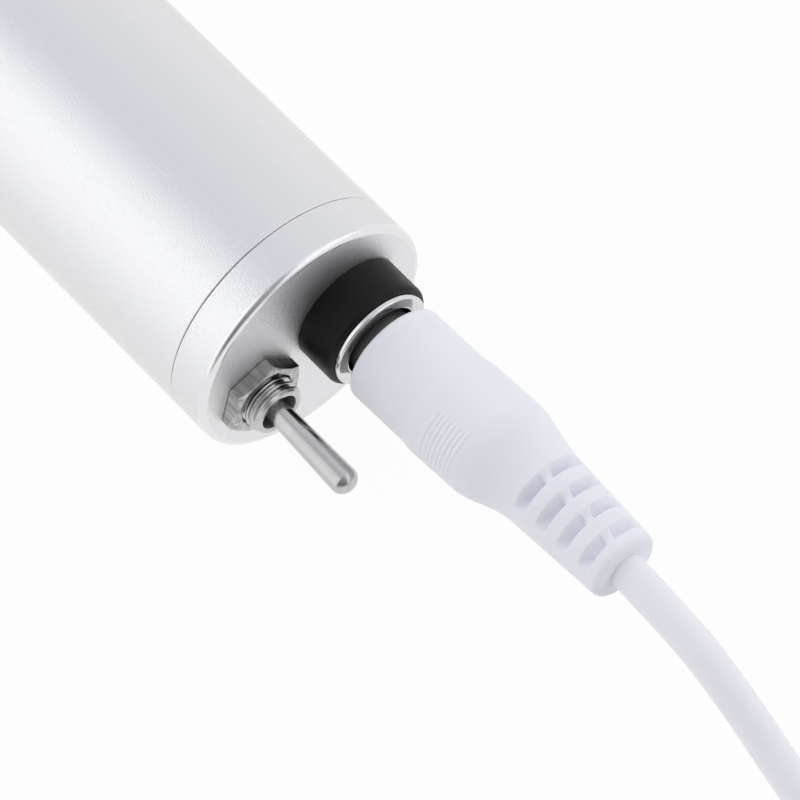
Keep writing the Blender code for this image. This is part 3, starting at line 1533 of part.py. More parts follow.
def make_usb_connector(hang):
    """The connector on the lead's far end."""
    start = hank_points()[-1] + Vector((SEAT_GAP, 0, 0))
    body_front = USB_RELIEF_LENGTH + USB_LENGTH
    sections = [
        (0, USB_RELIEF_D, USB_RELIEF_D),
        (USB_RELIEF_LENGTH, USB_RELIEF_ROOT_D, USB_RELIEF_ROOT_D),
        (USB_RELIEF_LENGTH + USB_CORNER, USB_WIDTH, USB_HEIGHT),
        (body_front, USB_WIDTH, USB_HEIGHT),
    ]
    loops = []
    for x, width, height in sections:
        corner = min(width, height) / 2 - FLAT_GAP if width == height else USB_CORNER
        loops.append([(x, y, z) for y, z in rounded_rectangle(width, height, corner, 3)])
    name = "usb_housing"
    add_object(name, mesh_of_loops(name, loops, False), "white_vinyl", start, *hang)
    shell_start = body_front + FLAT_GAP
    shell_end = shell_start + SHELL_LENGTH
    outer = rounded_rectangle(SHELL_WIDTH, SHELL_HEIGHT, SHELL_WALL)
    inside_width = SHELL_WIDTH - 2 * SHELL_WALL
    inside_height = SHELL_HEIGHT - 2 * SHELL_WALL
    inner = rounded_rectangle(inside_width, inside_height, SHELL_WALL / 2)
    loops = [
        [(x, y, z) for y, z in outline]
        for x, outline in (
            (shell_start, inner),
            (shell_start, outer),
            (shell_end, outer),
            (shell_end, inner),
        )
    ]
    add_object("usb_shell", mesh_of_loops("usb_shell", loops, True), "bright_steel", start, *hang)
    half = inside_width / 2 - FIT_GAP
    low = FIT_GAP - inside_height / 2
    block(
        "usb_tongue",
        (shell_start, shell_start + TONGUE_LENGTH),
        (-half, half),
        (low, low + TONGUE_HEIGHT),
        "white_nylon",
        start,
        hang,
    )


def make_housing():
    make_tube()
    make_rear_cap()
    make_front_cap()
    make_motor_screws()


def make_motor():
    make_motor_can()
    make_bush("front_bush", MOTOR_STATION - BOSS_LENGTH)
    make_end_bell()
    make_bush("rear_bush", bell_face() + BELL_SPIGOT + BELL_FLANGE + BELL_BOSS_LENGTH - BUSH_LENGTH)
    make_motor_terminals()
    make_brushes()
    make_magnets()


def make_spindle():
    spindle = (axis_empty("spindle_axis", SEAM), SEAM)
    make_shaft(spindle)
    make_armature_core(spindle)
    make_windings(spindle)
    make_commutator(spindle)
    make_chuck_arbor(spindle)
    make_chuck_body(spindle)
    sleeve = (axis_empty("sleeve_axis", SEAM, spindle[0]), SEAM)
    make_chuck_sleeve(sleeve)
    make_chuck_nut(sleeve)
    make_jaws(spindle)


def make_switch():
    make_switch_bushing()
    make_switch_nut()
    make_switch_washer()
    make_switch_case()
    make_switch_terminals()
    make_toggle_lever()
    make_switch_rocker()


def make_jack():
    make_jack_body()
    make_jack_nut()
    make_jack_ring()
    make_jack_core()
    make_jack_contact()
    make_jack_pin()


def make_power_lead():
    plug = (axis_empty("plug_slide", JACK), JACK)
    make_plug_moulding(plug)
    make_plug_contacts(plug)
    make_lead(plug)
    make_cord_tie(plug)
    make_usb_connector(plug)


def main():
    clear_scene()
    make_housing()
    make_motor()
    make_spindle()
    make_switch()
    make_jack()
    make_wires()
    make_power_lead()
    print("seam x", round(SEAM_X, 6), "axis z", round(AXIS_Z, 6))
    print("lever pivot x", round(SEAM_X + PIVOT_STATION, 6), "rocker pivot", tuple(rocker_pivot()))
    print("nose x", round(SEAM_X + NOSE_STATION, 6), "lead's end", tuple(hank_points()[-1]))


main()
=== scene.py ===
"""Dressed scene of the mini rotary drill.

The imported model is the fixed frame. Fine pieces replace the solids that show. The solids inside keep
their meshes and get procedural materials. The camera stands where the photograph's camera stood.

The drill's axis runs along X, with the chuck at -X. Places along it are called stations. They are
measured from the seam between the tube and the rear cap, positive towards the rear. All sizes are in
metres.
"""

from math import acos, cos, hypot, pi, radians, sin, sqrt, tan

import bmesh
import bpy
from mathutils import Matrix, Vector


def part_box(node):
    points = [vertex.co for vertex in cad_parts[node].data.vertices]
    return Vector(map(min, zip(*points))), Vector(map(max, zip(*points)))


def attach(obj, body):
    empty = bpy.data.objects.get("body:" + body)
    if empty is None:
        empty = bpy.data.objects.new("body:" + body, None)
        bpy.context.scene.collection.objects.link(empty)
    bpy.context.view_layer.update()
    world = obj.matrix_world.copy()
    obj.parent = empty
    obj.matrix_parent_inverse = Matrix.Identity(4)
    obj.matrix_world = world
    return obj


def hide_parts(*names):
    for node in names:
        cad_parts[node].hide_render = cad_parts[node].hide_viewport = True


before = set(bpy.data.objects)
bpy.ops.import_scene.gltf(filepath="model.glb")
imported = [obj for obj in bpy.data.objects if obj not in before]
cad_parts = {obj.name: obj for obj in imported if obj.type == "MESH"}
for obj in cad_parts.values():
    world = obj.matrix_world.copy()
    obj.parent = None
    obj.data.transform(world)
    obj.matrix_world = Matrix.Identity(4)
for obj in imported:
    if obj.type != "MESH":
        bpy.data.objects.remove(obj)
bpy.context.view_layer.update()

# Places, from the frame
TUBE_LOW, TUBE_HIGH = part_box("housing_tube")
BODY_R = (TUBE_HIGH.z - TUBE_LOW.z) / 2
SEAM = Vector((TUBE_HIGH.x, 0, TUBE_LOW.z + BODY_R))
TUBE_LENGTH = TUBE_HIGH.x - TUBE_LOW.x


def axis_through(node):
    """The point of a round node's axis at the seam's station."""
    low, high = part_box(node)
    return Vector((SEAM.x, (low.y + high.y) / 2, (low.z + high.z) / 2))


JACK = axis_through("jack_body")
SWITCH = axis_through("switch_nut")
SCREWS = [axis_through("motor_screw_1"), axis_through("motor_screw_2")]
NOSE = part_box("chuck_body")[0].x - SEAM.x

# Clearances
FLAT_GAP = 0.00005
FIT_GAP = 0.0001
SEAT_GAP = 0.0003
OVERRUN = 0.001

# How finely pieces are made
BODY_SIDES = 192
ROUND_SIDES = 96
SMALL_SIDES = 64
FILLET_STEPS = 4
CORNER_STEPS = 6
GRIP_CORNER_STEPS = 10
FLARE_STEPS = 5
DOME_STEPS = 16
ROUTE_STEPS = 6
CORD_STEPS = 8
FILLET_SHARE = 0.45
SHARP_ANGLE = radians(35)
LOFT_SHARP_ANGLE = radians(50)
SOFT_SHARP_ANGLE = radians(60)
# The least X part of a face's normal where it belongs to a flat end, and to a fillet
FLAT_FACING = 0.999
EDGE_FACING = 0.04

# Housing
BORE_R = 0.0128
REAR_FACE = 0.0048
SPIGOT_LENGTH = 0.005
SPIGOT_WALL = 0.0012
EDGE_FILLET = 0.0007
SEAM_CHAMFER = 0.00012
FRONT_CAP_THICKNESS = 0.0045
FRONT_SPIGOT_LENGTH = 0.003
FRONT_FACE_R = 0.01125
FRONT_CONE_LENGTH = 0.0022
FRONT_EDGE_FILLET = 0.0003
BOSS_HOLE_R = 0.0034
SCREW_R = 0.00125
SCREW_HEAD_R = 0.00225
SCREW_HEAD_HEIGHT = 0.0016
SCREW_LENGTH = 0.0086
SCREW_SLOT_WIDTH = 0.0006
SCREW_SLOT_DEPTH = 0.0008

# Chuck
CHUCK_LENGTH = 0.028
NOSE_R = 0.0048
NOSE_CHAMFER = 0.0005
NOSE_CONE_LENGTH = 0.0062
CHUCK_CORE_R = 0.0083
COLLAR_R = 0.0102
COLLAR_LENGTH = 0.0102
COLLAR_CHAMFER = 0.0006
SLEEVE_START = 0.0068
SLEEVE_R = 0.0106
SLEEVE_FRONT_R = 0.0094
SLEEVE_FRONT_TAPER = 0.0015
SLEEVE_TEETH = 30
# The sleeve's rear edge, going inwards, in tooth heights: before the end, below the side, toothed
SLEEVE_EDGE = ((0.3575, 0, True), (0.2, 0.75, True), (0.2, 1.1, False), (0, 1.3, False))
TOOTH_HEIGHT = 0.0011
TOOTH_STEPS = 12
TOOTH_GAP_SHARE = 0.3
TOOTH_FLANK_SHARE = 0.4
BIT_HOLE_R = 0.0022
BIT_HOLE_DEPTH = 0.014
JAW_COUNT = 3
JAW_R = 0.0019
JAW_ANGLE = radians(14)
JAW_LINE_OFFSET = 0.00125
JAW_REACH = 0.0043
JAW_LENGTH = 0.0175
JAW_BORE_GAP = 0.00025
JAW_BORE_DEPTH = 0.022
JAW_MEET_GAP = 0.0003
JAW_BEVEL = 0.00012
NUT_START = 0.009
NUT_LENGTH = 0.004
NUT_GROOVE_R = 0.0054
KEY_HOLE_R = 0.0019
KEY_HOLE_DEPTH = 0.003
KEY_HOLE_FROM_REAR = 0.0048
ARBOR_HOLE_DEPTH = 0.0105
ARBOR_R = 0.00305
ARBOR_TIP_R = 0.0027
ARBOR_COLLAR_R = 0.0045
ARBOR_COLLAR_LENGTH = 0.0057
SHAFT_R = 0.001
SET_SCREW_R = 0.00125
SET_SCREW_SOCKET_R = 0.00065
SET_SCREW_SOCKET_DEPTH = 0.001
SET_SCREW_SUNK = 0.0003

# Toggle switch
BUSHING_R = 0.003
BUSHING_BORE_R = 0.0021
BUSHING_OUT = 0.0035
BUSHING_END_R = 0.0027
BUSHING_CHAMFER = 0.00025
BUSHING_START = -0.0016
THREAD_PITCH = 0.00075
THREAD_DEPTH = 0.0004
THREAD_START = -0.0002
THREAD_STEPS = 14
THREAD_CREST = 1.25
THREAD_FLANK = 1.6
NUT_ACROSS_FLATS = 0.008
NUT_THICKNESS = 0.0016
NUT_BEVEL = 0.00008
NUT_TURNING_ANGLE = radians(30)
LEVER_OUT = 0.0104
LEVER_TIP_R = 0.0015
LEVER_ROOT_R = 0.0012
LEVER_TIP_DOME = 0.0013
LEVER_BALL_R = 0.0019
LEVER_TAIL_R = 0.0005
LEVER_TAIL_LENGTH = 0.0121
LEVER_PIVOT_DEPTH = 0.003
LEVER_TILT = radians(12)

# Power socket
JACK_R = 0.0062
JACK_PROUD = 0.0048
JACK_FILLET = 0.0007
JACK_NECK_R = 0.0052
JACK_BACK = 0.004
RING_R = 0.0056
RING_BORE_R = 0.0041
RING_SLEEVE_WALL = 0.0003
RING_FLANGE = 0.0005
RING_FILLET = 0.0003
RING_BACK = 0.003
CORE_R = 0.0036
CORE_BORE_R = 0.003
CORE_PROUD = 0.0013
CORE_BACK = -0.0043
CORE_FLOOR = 0.003
PIN_HOLE_R = 0.00115

# Plug: distances along it are measured from its front
PLUG_FRONT = REAR_FACE + 0.00685
PLUG_LENGTH = 0.0334
PLUG_SIDESTEP = 0.00088
PLUG_SIDES = 180
PLUG_STEP = 0.00012
PLUG_FINE_STEP = 0.00006
PLUG_SOFTENING = 0.0006
PLUG_EDGE = 0.0006
PLUG_END_FILLET = 0.0007
# Rows of place, radius and share of the sidestep
PLUG_SHAPE = (
    (0, 0.00565, 0), (0.0003, 0.00565, 0), (0.0078, 0.00565, 0.2), (0.0088, 0.00585, 0.25),
    (0.0152, 0.00585, 0.6), (0.0166, 0.00563, 0.72), (0.018, 0.00519, 0.86), (0.0194, 0.00479, 0.96),
    (0.0208, 0.00452, 1), (0.0217, 0.00445, 1), (0.0334, 0.00387, 1),
)
RIB_START = 0.0103
RIB_PITCH = 0.00055
RIB_COUNT = 8
RIB_HEIGHT = 0.0001
RIB_MIDDLE_ANGLE = radians(139)
RIB_HALF_ANGLE = radians(40)
RIB_FADE_ANGLE = radians(14)
WINDOW_COUNT = 4
WINDOW_START = 0.0222
WINDOW_WIDTH = 0.0009
WINDOW_PITCH = 0.0029
WINDOW_CORE_R = 0.0026
WINDOW_FRONT_EDGE = 0.0005
WINDOW_REAR_EDGE = 0.0001
WINDOW_MIDDLE_ANGLE = radians(81)
WINDOW_HALF_ANGLE = radians(64)
WINDOW_FADE_ANGLE = radians(15)
SPINE_HALF_ANGLE = radians(6)
SPINE_FADE_ANGLE = radians(4)
SPINE_DEPTH_SHARE = 0.3
BARREL_R = 0.00275
BARREL_WALL = 0.0005
BARREL_LENGTH = 0.0095
BARREL_ROOT = 0.0025
CORD_SEAT_DEPTH = 0.003

# Lead
CORD_D = 0.0038
HANK_NEAR_STATION = 0.107
HANK_ASIDE = -0.0043
HANK_RUN = 0.029
HANK_INNER_R = 0.0114
HANK_STEP = 0.0044
HANK_FOLD_POINTS = 24
HANK_FLOOR_SPACE = 0.0006
TAIL_LENGTH = 0.006
TIE_THICKNESS = 0.0004
TIE_WIDTH = 0.004
TIE_GAP = 0.00015
TIE_CORNER = 0.0015

# The hank's turns in order: column (0 inside, 1 outside), layer (0 lowest), and how many steps the near
# fold reaches past the inner turn
HANK_TURNS = [(1, 0, 1.2), (0, 0, 0), (0, 1, 1.2), (1, 1, 2.4), (1, 2, 1.2), (0, 2, 0)]
HANK_LAYERS = 3
HANK_LOW_Z = HANK_FLOOR_SPACE + CORD_D / 2
HANK_TOP_Z = HANK_LOW_Z + (HANK_LAYERS - 1) * HANK_STEP + CORD_D / 2

# Connector on the lead's far end
USB_LENGTH = 0.024
USB_WIDTH = 0.0126
USB_HEIGHT = 0.008
USB_CORNER = 0.0016
USB_RELIEF_LENGTH = 0.0095
USB_RELIEF_R = 0.0028
USB_RELIEF_ROOT_R = 0.0035
USB_GROOVES = 3
USB_GROOVE_PITCH = 0.0019
USB_GROOVE_DEPTH = 0.00025
USB_GROOVE_START = 0.9
USB_GROOVE_SHARES = (0, 0.15, 0.4, 0.55)
USB_END_ROUNDING = ((1, 0), (1 / 3, 0.5), (0, 1.6))
SHELL_WIDTH = 0.012
SHELL_HEIGHT = 0.0045
SHELL_WALL = 0.0003
SHELL_LENGTH = 0.0185
SHELL_WINDOW = 0.0024
SHELL_WINDOW_SPACING = 0.005
SHELL_WINDOW_FROM_END = 0.0064
CONTACT_COUNT = 4
CONTACT_SPACING = 0.0023
CONTACT_WIDTH = 0.0011
CONTACT_LENGTH = 0.007
CONTACT_THICKNESS = 0.00012

# Places of the hank and of the connector, which lies on the hank over the tie
HANK_CORNER = Vector((SEAM.x + HANK_NEAR_STATION, HANK_ASIDE, 0))
CONNECTOR_Z = HANK_TOP_Z + TIE_GAP + TIE_THICKNESS + FIT_GAP + USB_HEIGHT / 2

# The lead's route from the plug to the hank: X from the seam, Y from the axis, Z above the floor
LEAD_ROUTE = [
    (0.0424, 0.00553, 0.014), (0.0452, 0.0055, 0.014), (0.048, 0.0054, 0.0138),
    (0.0515, 0.0053, 0.0134), (0.056, 0.0051, 0.0125), (0.0605, 0.0045, 0.0111),
    (0.065, 0.0038, 0.0093), (0.0695, 0.0029, 0.0075), (0.074, 0.0024, 0.0059),
    (0.0785, 0.0027, 0.0043), (0.083, 0.0039, 0.0031), (0.0875, 0.0059, 0.0025),
    (0.092, 0.0082, 0.0024), (0.0965, 0.0102, 0.0025), (0.101, 0.0113, 0.0025),
    (0.105, 0.0115, 0.0025),
]

# Camera
CAMERA_FROM_SEAM = Vector((0.2372, -0.05295, 0.49596))
CAMERA_RIGHT = Vector((0.65019, 0.73039, -0.20924))
CAMERA_UP = Vector((-0.64274, 0.67562, 0.36114))
CAMERA_BACK = Vector((0.40514, -0.10033, 0.90873))
CAMERA_LENS = 252
CAMERA_SENSOR = 36
CAMERA_CLIP = (0.05, 20)

# Light. Each sky lists colours from the +Y horizon (0) over the top to the -Y horizon (1). The front sky,
# beyond the chuck, turns into the rear sky between the two X parts of a direction in SKY_CHANGE
FLOOR_R = 3.0
FLOOR_DROP = 0.00002
FLOOR_COLOUR = (0.92, 0.92, 0.92)
FLOOR_ROUGHNESS = 0.9
FLOOR_WHITE_SHARE = 0.95
SKY_STRENGTH = 1.45
SKY_CHANGE = (-0.1, 0.25)
FRONT_SKY = (
    (0.0, (0.62, 0.62, 0.63)), (0.25, (0.6, 0.605, 0.625)), (0.53, (0.53, 0.535, 0.575)),
    (0.59, (0.8, 0.81, 0.83)), (0.68, (0.88, 0.88, 0.885)), (0.8, (0.86, 0.86, 0.865)),
    (0.91, (0.82, 0.82, 0.82)), (1.0, (0.82, 0.82, 0.82)),
)
REAR_SKY = (
    (0.0, (0.84, 0.84, 0.85)), (0.26, (0.84, 0.84, 0.85)), (0.345, (0.65, 0.65, 0.66)),
    (0.44, (0.3, 0.3, 0.31)), (0.62, (0.245, 0.245, 0.255)), (0.81, (0.15, 0.15, 0.155)),
    (0.91, (0.26, 0.26, 0.265)), (0.965, (0.41, 0.41, 0.41)), (1.0, (0.6, 0.6, 0.6)),
)


# Camera
def make_camera():
    data = bpy.data.cameras.new("camera")
    data.lens = CAMERA_LENS
    data.sensor_width = CAMERA_SENSOR
    data.clip_start, data.clip_end = CAMERA_CLIP
    camera = add_object("camera", data)
    turn = Matrix((CAMERA_RIGHT, CAMERA_UP, CAMERA_BACK)).transposed()
    camera.matrix_world = Matrix.Translation(SEAM + CAMERA_FROM_SEAM) @ turn.to_4x4()
    bpy.context.scene.camera = camera


# Helpers for pieces
def give_material(piece, material):
    piece.data.materials.clear()
    piece.data.materials.append(material)


def dress(piece, body, slot, material, *nodes):
    """Gives a piece its body and material, and hides the CAD nodes that it stands for. The slot is not
    used.
    """
    give_material(piece, material)
    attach(piece, body)
    if nodes:
        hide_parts(*nodes)
    return piece


def repaint(piece, material, chosen):
    """Gives another material to the faces whose centre and normal pass a test."""
    piece.data.materials.append(material)
    index = len(piece.data.materials) - 1
    for face in piece.data.polygons:
        if chosen(face.center, face.normal):
            face.material_index = index


def add_object(name, data, place=(0, 0, 0)):
    made = bpy.data.objects.new(name, data)
    bpy.context.scene.collection.objects.link(made)
    made.location = place
    return made


def smoothed(mesh, sharp=SHARP_ANGLE):
    mesh.shade_smooth()
    mesh.set_sharp_from_angle(angle=sharp)
    return mesh


def finish_mesh(name, bm, sharp=SHARP_ANGLE):
    bmesh.ops.recalc_face_normals(bm, faces=bm.faces)
    mesh = bpy.data.meshes.new(name)
    bm.to_mesh(mesh)
    bm.free()
    return smoothed(mesh, sharp)


def full_turn(steps):
    return [2 * pi * i / steps for i in range(steps)]


def circle(x, radius, sides):
    return [(x, radius * cos(a), radius * sin(a)) for a in full_turn(sides)]


def lofted(name, loops, place=SEAM, ring=False, sharp=SHARP_ANGLE):
    """A piece from loops of equally many points, joined as a closed ring or with both ends capped."""
    bm = bmesh.new()
    rows = [[bm.verts.new(point) for point in loop] for loop in loops]
    pairs = list(zip(rows, rows[1:]))
    if ring:
        pairs.append((rows[-1], rows[0]))
    for first, second in pairs:
        for i in range(len(first)):
            j = (i + 1) % len(first)
            bm.faces.new((first[i], first[j], second[j], second[i]))
    if not ring:
        bm.faces.new(rows[0])
        bm.faces.new(rows[-1])
    return add_object(name, finish_mesh(name, bm, sharp), place)


def filleted(profile, ring):
    """Rounds the corners of (station, radius, fillet) points. A point without a fillet stays sharp."""
    rounded = []
    count = len(profile)
    for i, (x, r, *fillet) in enumerate(profile):
        if not fillet or (not ring and i in (0, count - 1)):
            rounded.append((x, r))
            continue
        here = Vector((x, r))
        ways = []
        for j in (i - 1, (i + 1) % count):
            way = Vector(profile[j][:2]) - here
            ways.append(way.normalized() * min(fillet[0], FILLET_SHARE * way.length))
        for k in range(FILLET_STEPS + 1):
            t = k / FILLET_STEPS
            rounded.append(tuple(here + ways[0] * (1 - t) ** 2 + ways[1] * t**2))
    return rounded


def even_shading(piece):
    """Keeps flat faces flat beside their fillets."""
    piece.modifiers.new("even_shading", "WEIGHTED_NORMAL").keep_sharp = True
    return piece


def turned(name, profile, place=SEAM, ring=False, sides=ROUND_SIDES):
    """A turned piece. The profile lists (station, radius) points, with a fillet where there is one."""
    loops = [circle(x, r, sides) for x, r in filleted(profile, ring)]
    return even_shading(lofted(name, loops, place, ring))


def block(name, x_span, y_span, z_span, place=SEAM):
    (y0, y1), (z0, z1) = y_span, z_span
    return lofted(name, [[(x, y0, z0), (x, y1, z0), (x, y1, z1), (x, y0, z1)] for x in x_span], place)


def rounded_rectangle(width, height, corner, steps=CORNER_STEPS):
    """A centred rectangle in Y and Z, with round corners."""
    points = []
    for k, (sy, sz) in enumerate(((1, 1), (-1, 1), (-1, -1), (1, -1))):
        for i in range(steps + 1):
            angle = pi / 2 * (k + i / steps)
            y = sy * (width / 2 - corner) + corner * cos(angle)
            z = sz * (height / 2 - corner) + corner * sin(angle)
            points.append((y, z))
    return points


def combine(target, cutter, operation="DIFFERENCE"):
    """Cuts one shape out of another, or keeps what they share, and removes the cutter."""
    target.modifiers.clear()
    cutter.modifiers.clear()
    modifier = target.modifiers.new("cut", "BOOLEAN")
    modifier.operation = operation
    modifier.solver = "EXACT"
    modifier.object = cutter
    bpy.context.view_layer.update()
    graph = bpy.context.evaluated_depsgraph_get()
    result = bpy.data.meshes.new_from_object(target.evaluated_get(graph))
    target.modifiers.clear()
    old = target.data
    target.data = smoothed(result)
    bpy.data.meshes.remove(old)
    result.name = target.name
    bpy.data.objects.remove(cutter, do_unlink=True)
    return even_shading(target)


def bevel(piece, width):
    """Rounds a piece's sharp edges."""
    piece.modifiers.clear()
    modifier = piece.modifiers.new("edges", "BEVEL")
    modifier.width = width
    modifier.segments = 2
    modifier.limit_method = "ANGLE"
    modifier.angle_limit = SHARP_ANGLE
    return even_shading(piece)


def between(table, column, at):
    """Reads a column of a table at a place between its rows. The places are in the first column."""
    for low, high in zip(table, table[1:]):
        if at <= high[0]:
            return low[column] + (high[column] - low[column]) * (at - low[0]) / (high[0] - low[0])
    return table[-1][column]


def ease(t):
    """A smooth step from 0 to 1."""
    t = min(max(t, 0), 1)
    return t * t * (3 - 2 * t)


def smooth_path(points, steps):
    """Points along a smooth curve that follows the given points, from the first to the last."""
    path = []
    padded = [2 * points[0] - points[1], *points, 2 * points[-1] - points[-2]]
    for a, b, c, d in zip(padded, padded[1:], padded[2:], padded[3:]):
        for i in range(steps):
            t = i / steps
            shares = ((1 - t) ** 3, 3 * t**3 - 6 * t**2 + 4, 1 + 3 * t + 3 * t**2 - 3 * t**3, t**3)
            path.append(sum((p * w for p, w in zip((a, b, c, d), shares)), Vector()) / 6)
    return [*path, points[-1]]


# Materials. The scales of their patterns are per metre
def shader_of(material):
    return material.node_tree.nodes["Principled BSDF"]


def new_material(name, colour, roughness, metallic=0.0, **sockets):
    """A material with one Principled shader. Other sockets are named with _ for a space."""
    material = bpy.data.materials.new(name)
    material.use_nodes = True
    sockets |= {"Base Color": (*colour, 1), "Roughness": roughness, "Metallic": metallic}
    for socket, value in sockets.items():
        shader_of(material).inputs[socket.replace("_", " ")].default_value = value
    return material


def add_node(tree, kind, inputs=(), **settings):
    """A node with its settings and inputs; an input is a value or another node's output."""
    made = tree.nodes.new("ShaderNode" + kind)
    for setting, value in settings.items():
        setattr(made, setting, value)
    for socket, value in dict(inputs).items():
        if isinstance(value, bpy.types.NodeSocket):
            tree.links.new(value, made.inputs[socket])
        else:
            made.inputs[socket].default_value = value
    return made


def coordinates(tree, stretch=(1, 1, 1)):
    """The object's own coordinates. Marks run along the axes that have low values in stretch."""
    source = add_node(tree, "TexCoord").outputs["Object"]
    return add_node(tree, "Mapping", {"Vector": source, "Scale": stretch}).outputs["Vector"]


def noise(tree, scale, detail, stretch=(1, 1, 1)):
    inputs = {"Vector": coordinates(tree, stretch), "Scale": scale, "Detail": detail}
    return add_node(tree, "TexNoise", inputs).outputs["Fac"]


def waves(tree, scale, distortion, bands="X"):
    inputs = {"Vector": coordinates(tree), "Scale": scale, "Distortion": distortion, "Detail": 1}
    return add_node(tree, "TexWave", inputs, bands_direction=bands).outputs["Fac"]


def spread(tree, source, low, high, start=0.3, end=0.7):
    """Maps a pattern to values from low to high."""
    inputs = {"Value": source, "From Min": start, "From Max": end, "To Min": low, "To Max": high}
    return add_node(tree, "MapRange", inputs).outputs["Result"]


def mottle(material, pattern, darker):
    """Varies the base colour between itself and a share of itself."""
    tree = material.node_tree
    base = shader_of(material).inputs["Base Color"]
    colour = list(base.default_value)[:3]
    ramp = add_node(tree, "ValToRGB", {"Fac": spread(tree, pattern, 0, 1)})
    first, last = ramp.color_ramp.elements
    first.color = (*[c * darker for c in colour], 1)
    last.color = (*colour, 1)
    tree.links.new(ramp.outputs["Color"], base)


def vary_roughness(material, pattern, amount):
    tree = material.node_tree
    socket = shader_of(material).inputs["Roughness"]
    middle = socket.default_value
    tree.links.new(spread(tree, pattern, middle - amount, middle + amount), socket)


def bump(material, pattern, depth):
    """Raises the surface by up to depth metres where the pattern is high, over the bumps it has."""
    tree = material.node_tree
    normal = shader_of(material).inputs["Normal"]
    made = add_node(tree, "Bump", {"Height": pattern, "Distance": depth, "Strength": 1})
    if normal.is_linked:
        tree.links.new(normal.links[0].from_socket, made.inputs["Normal"])
    tree.links.new(made.outputs["Normal"], normal)


def textured(material, bumps, sheen, spots):
    """Adds bumps, uneven roughness and darker spots.

    Each row has its noise's scale, detail and perhaps stretch, then the bumps' depth, the change of
    roughness, or the share of the colour that is left.
    """
    tree = material.node_tree
    for *pattern, depth in bumps:
        bump(material, noise(tree, *pattern), depth)
    *pattern, amount = sheen
    vary_roughness(material, noise(tree, *pattern), amount)
    *pattern, darker = spots
    mottle(material, noise(tree, *pattern), darker)
    return material


def blasted_aluminium(name, brightness, roughness, grain, metallic=1.0):
    """Bead-blasted and clear anodised: a fine grain that shows where the light changes."""
    colour = [brightness * share for share in ANODISED_TINT]
    made = new_material(name, colour, roughness, metallic)
    return textured(made, bumps=[(7200, 3, grain)], sheen=(2500, 2, 0.03), spots=(5000, 2, 0.97))


def turned_steel(name, colour, roughness, ring_scale=9000, ring_depth=0.0000008):
    """Metal from the lathe: fine rings round the X axis, with a few stains."""
    made = new_material(name, colour, roughness, 1.0)
    bump(made, waves(made.node_tree, ring_scale, distortion=3), ring_depth)
    return textured(made, bumps=[], sheen=(900, 3, 0.06), spots=(300, 3, 0.86))


def plated(name, colour, roughness, scratch_depth=0.000001, darker=0.9):
    """Bright plating with fine marks along its length."""
    made = new_material(name, colour, roughness, 1.0)
    scratches = (2500, 3, (0.15, 1, 1), scratch_depth)
    return textured(made, [scratches], sheen=(1500, 2, 0.04), spots=(1800, 2, (0.2, 1, 1), darker))


def moulded(name, colour, roughness, grain=0.000003, grain_scale=4000, **sockets):
    """Moulded plastic with the fine texture of its mould."""
    made = new_material(name, colour, roughness, **sockets)
    return textured(made, bumps=[(grain_scale, 3, grain)], sheen=(1200, 2, 0.05), spots=(250, 2, 0.9))


def white_vinyl(name, colour, roughness):
    """Soft white PVC: a little light goes into it, and its surface is faintly uneven."""
    made = new_material(
        name,
        colour,
        roughness,
        Subsurface_Weight=0.15,
        Subsurface_Scale=0.0008,
        Subsurface_Radius=(1.0, 0.9, 0.9),
        Specular_IOR_Level=0.35,
    )
    bumps = [(900, 2, 0.000006), (6000, 2, 0.000001)]
    return textured(made, bumps, sheen=(1500, 2, 0.05), spots=(200, 2, 0.975))


def striped(name, colour, roughness, metallic, scale, depth, bands="X"):
    """Even ridges: laminations, wound wire or woven cloth."""
    made = new_material(name, colour, roughness, metallic)
    tree = made.node_tree
    stripes = waves(tree, scale, 0.2, bands)
    bump(made, stripes, depth)
    mottle(made, stripes, 0.8)
    vary_roughness(made, noise(tree, 2000, 2), 0.05)
    return made


ANODISED_TINT = (1, 1.005, 1.02)
ALUMINIUM = blasted_aluminium("blasted_aluminium", 0.79, 0.23, 0.000056)
FACE_ALUMINIUM = blasted_aluminium("face_aluminium", 0.84, 0.34, 0.000075, 0.96)
EDGE_ALUMINIUM = blasted_aluminium("edge_aluminium", 0.8, 0.16, 0.0000004)
BRIGHT_STEEL = turned_steel("bright_steel", (0.54, 0.535, 0.53), 0.2)
DARK_STEEL = turned_steel("dark_steel", (0.28, 0.28, 0.29), 0.32)
CAN_STEEL = turned_steel("can_steel", (0.56, 0.56, 0.56), 0.28, 4000)
NICKEL = plated("nickel", (0.56, 0.56, 0.555), 0.2)
DULL_NICKEL = plated("dull_nickel", (0.45, 0.44, 0.42), 0.45)
NUT_NICKEL = plated("nut_nickel", (0.55, 0.545, 0.535), 0.2, 0.000012, 0.55)
CHROME = plated("chrome", (0.74, 0.74, 0.74), 0.09)
BRASS = turned_steel("brass", (0.68, 0.49, 0.21), 0.24)
COPPER = striped("copper", (0.7, 0.3, 0.14), 0.28, 1.0, 1600, 0.00005)
COPPER_STRIP = plated("copper_strip", (0.75, 0.38, 0.22), 0.25)
LAMINATIONS = striped("laminations", (0.34, 0.34, 0.35), 0.4, 1.0, 1000, 0.00001)
MAGNET = moulded("ferrite", (0.035, 0.033, 0.032), 0.6, 0.000006, 3000)
BLACK_PLASTIC = moulded("black_plastic", (0.006, 0.006, 0.007), 0.42, 0.0000015, Specular_IOR_Level=0.2)
GREY_PLASTIC = moulded("grey_plastic", (0.06, 0.06, 0.06), 0.42)
BLUE_PLASTIC = moulded("blue_plastic", (0.02, 0.07, 0.32), 0.4)
WHITE_NYLON = moulded("white_nylon", (0.78, 0.77, 0.72), 0.45, Subsurface_Weight=0.1)
PLUG_VINYL = white_vinyl("plug_vinyl", (0.915, 0.93, 0.985), 0.5)
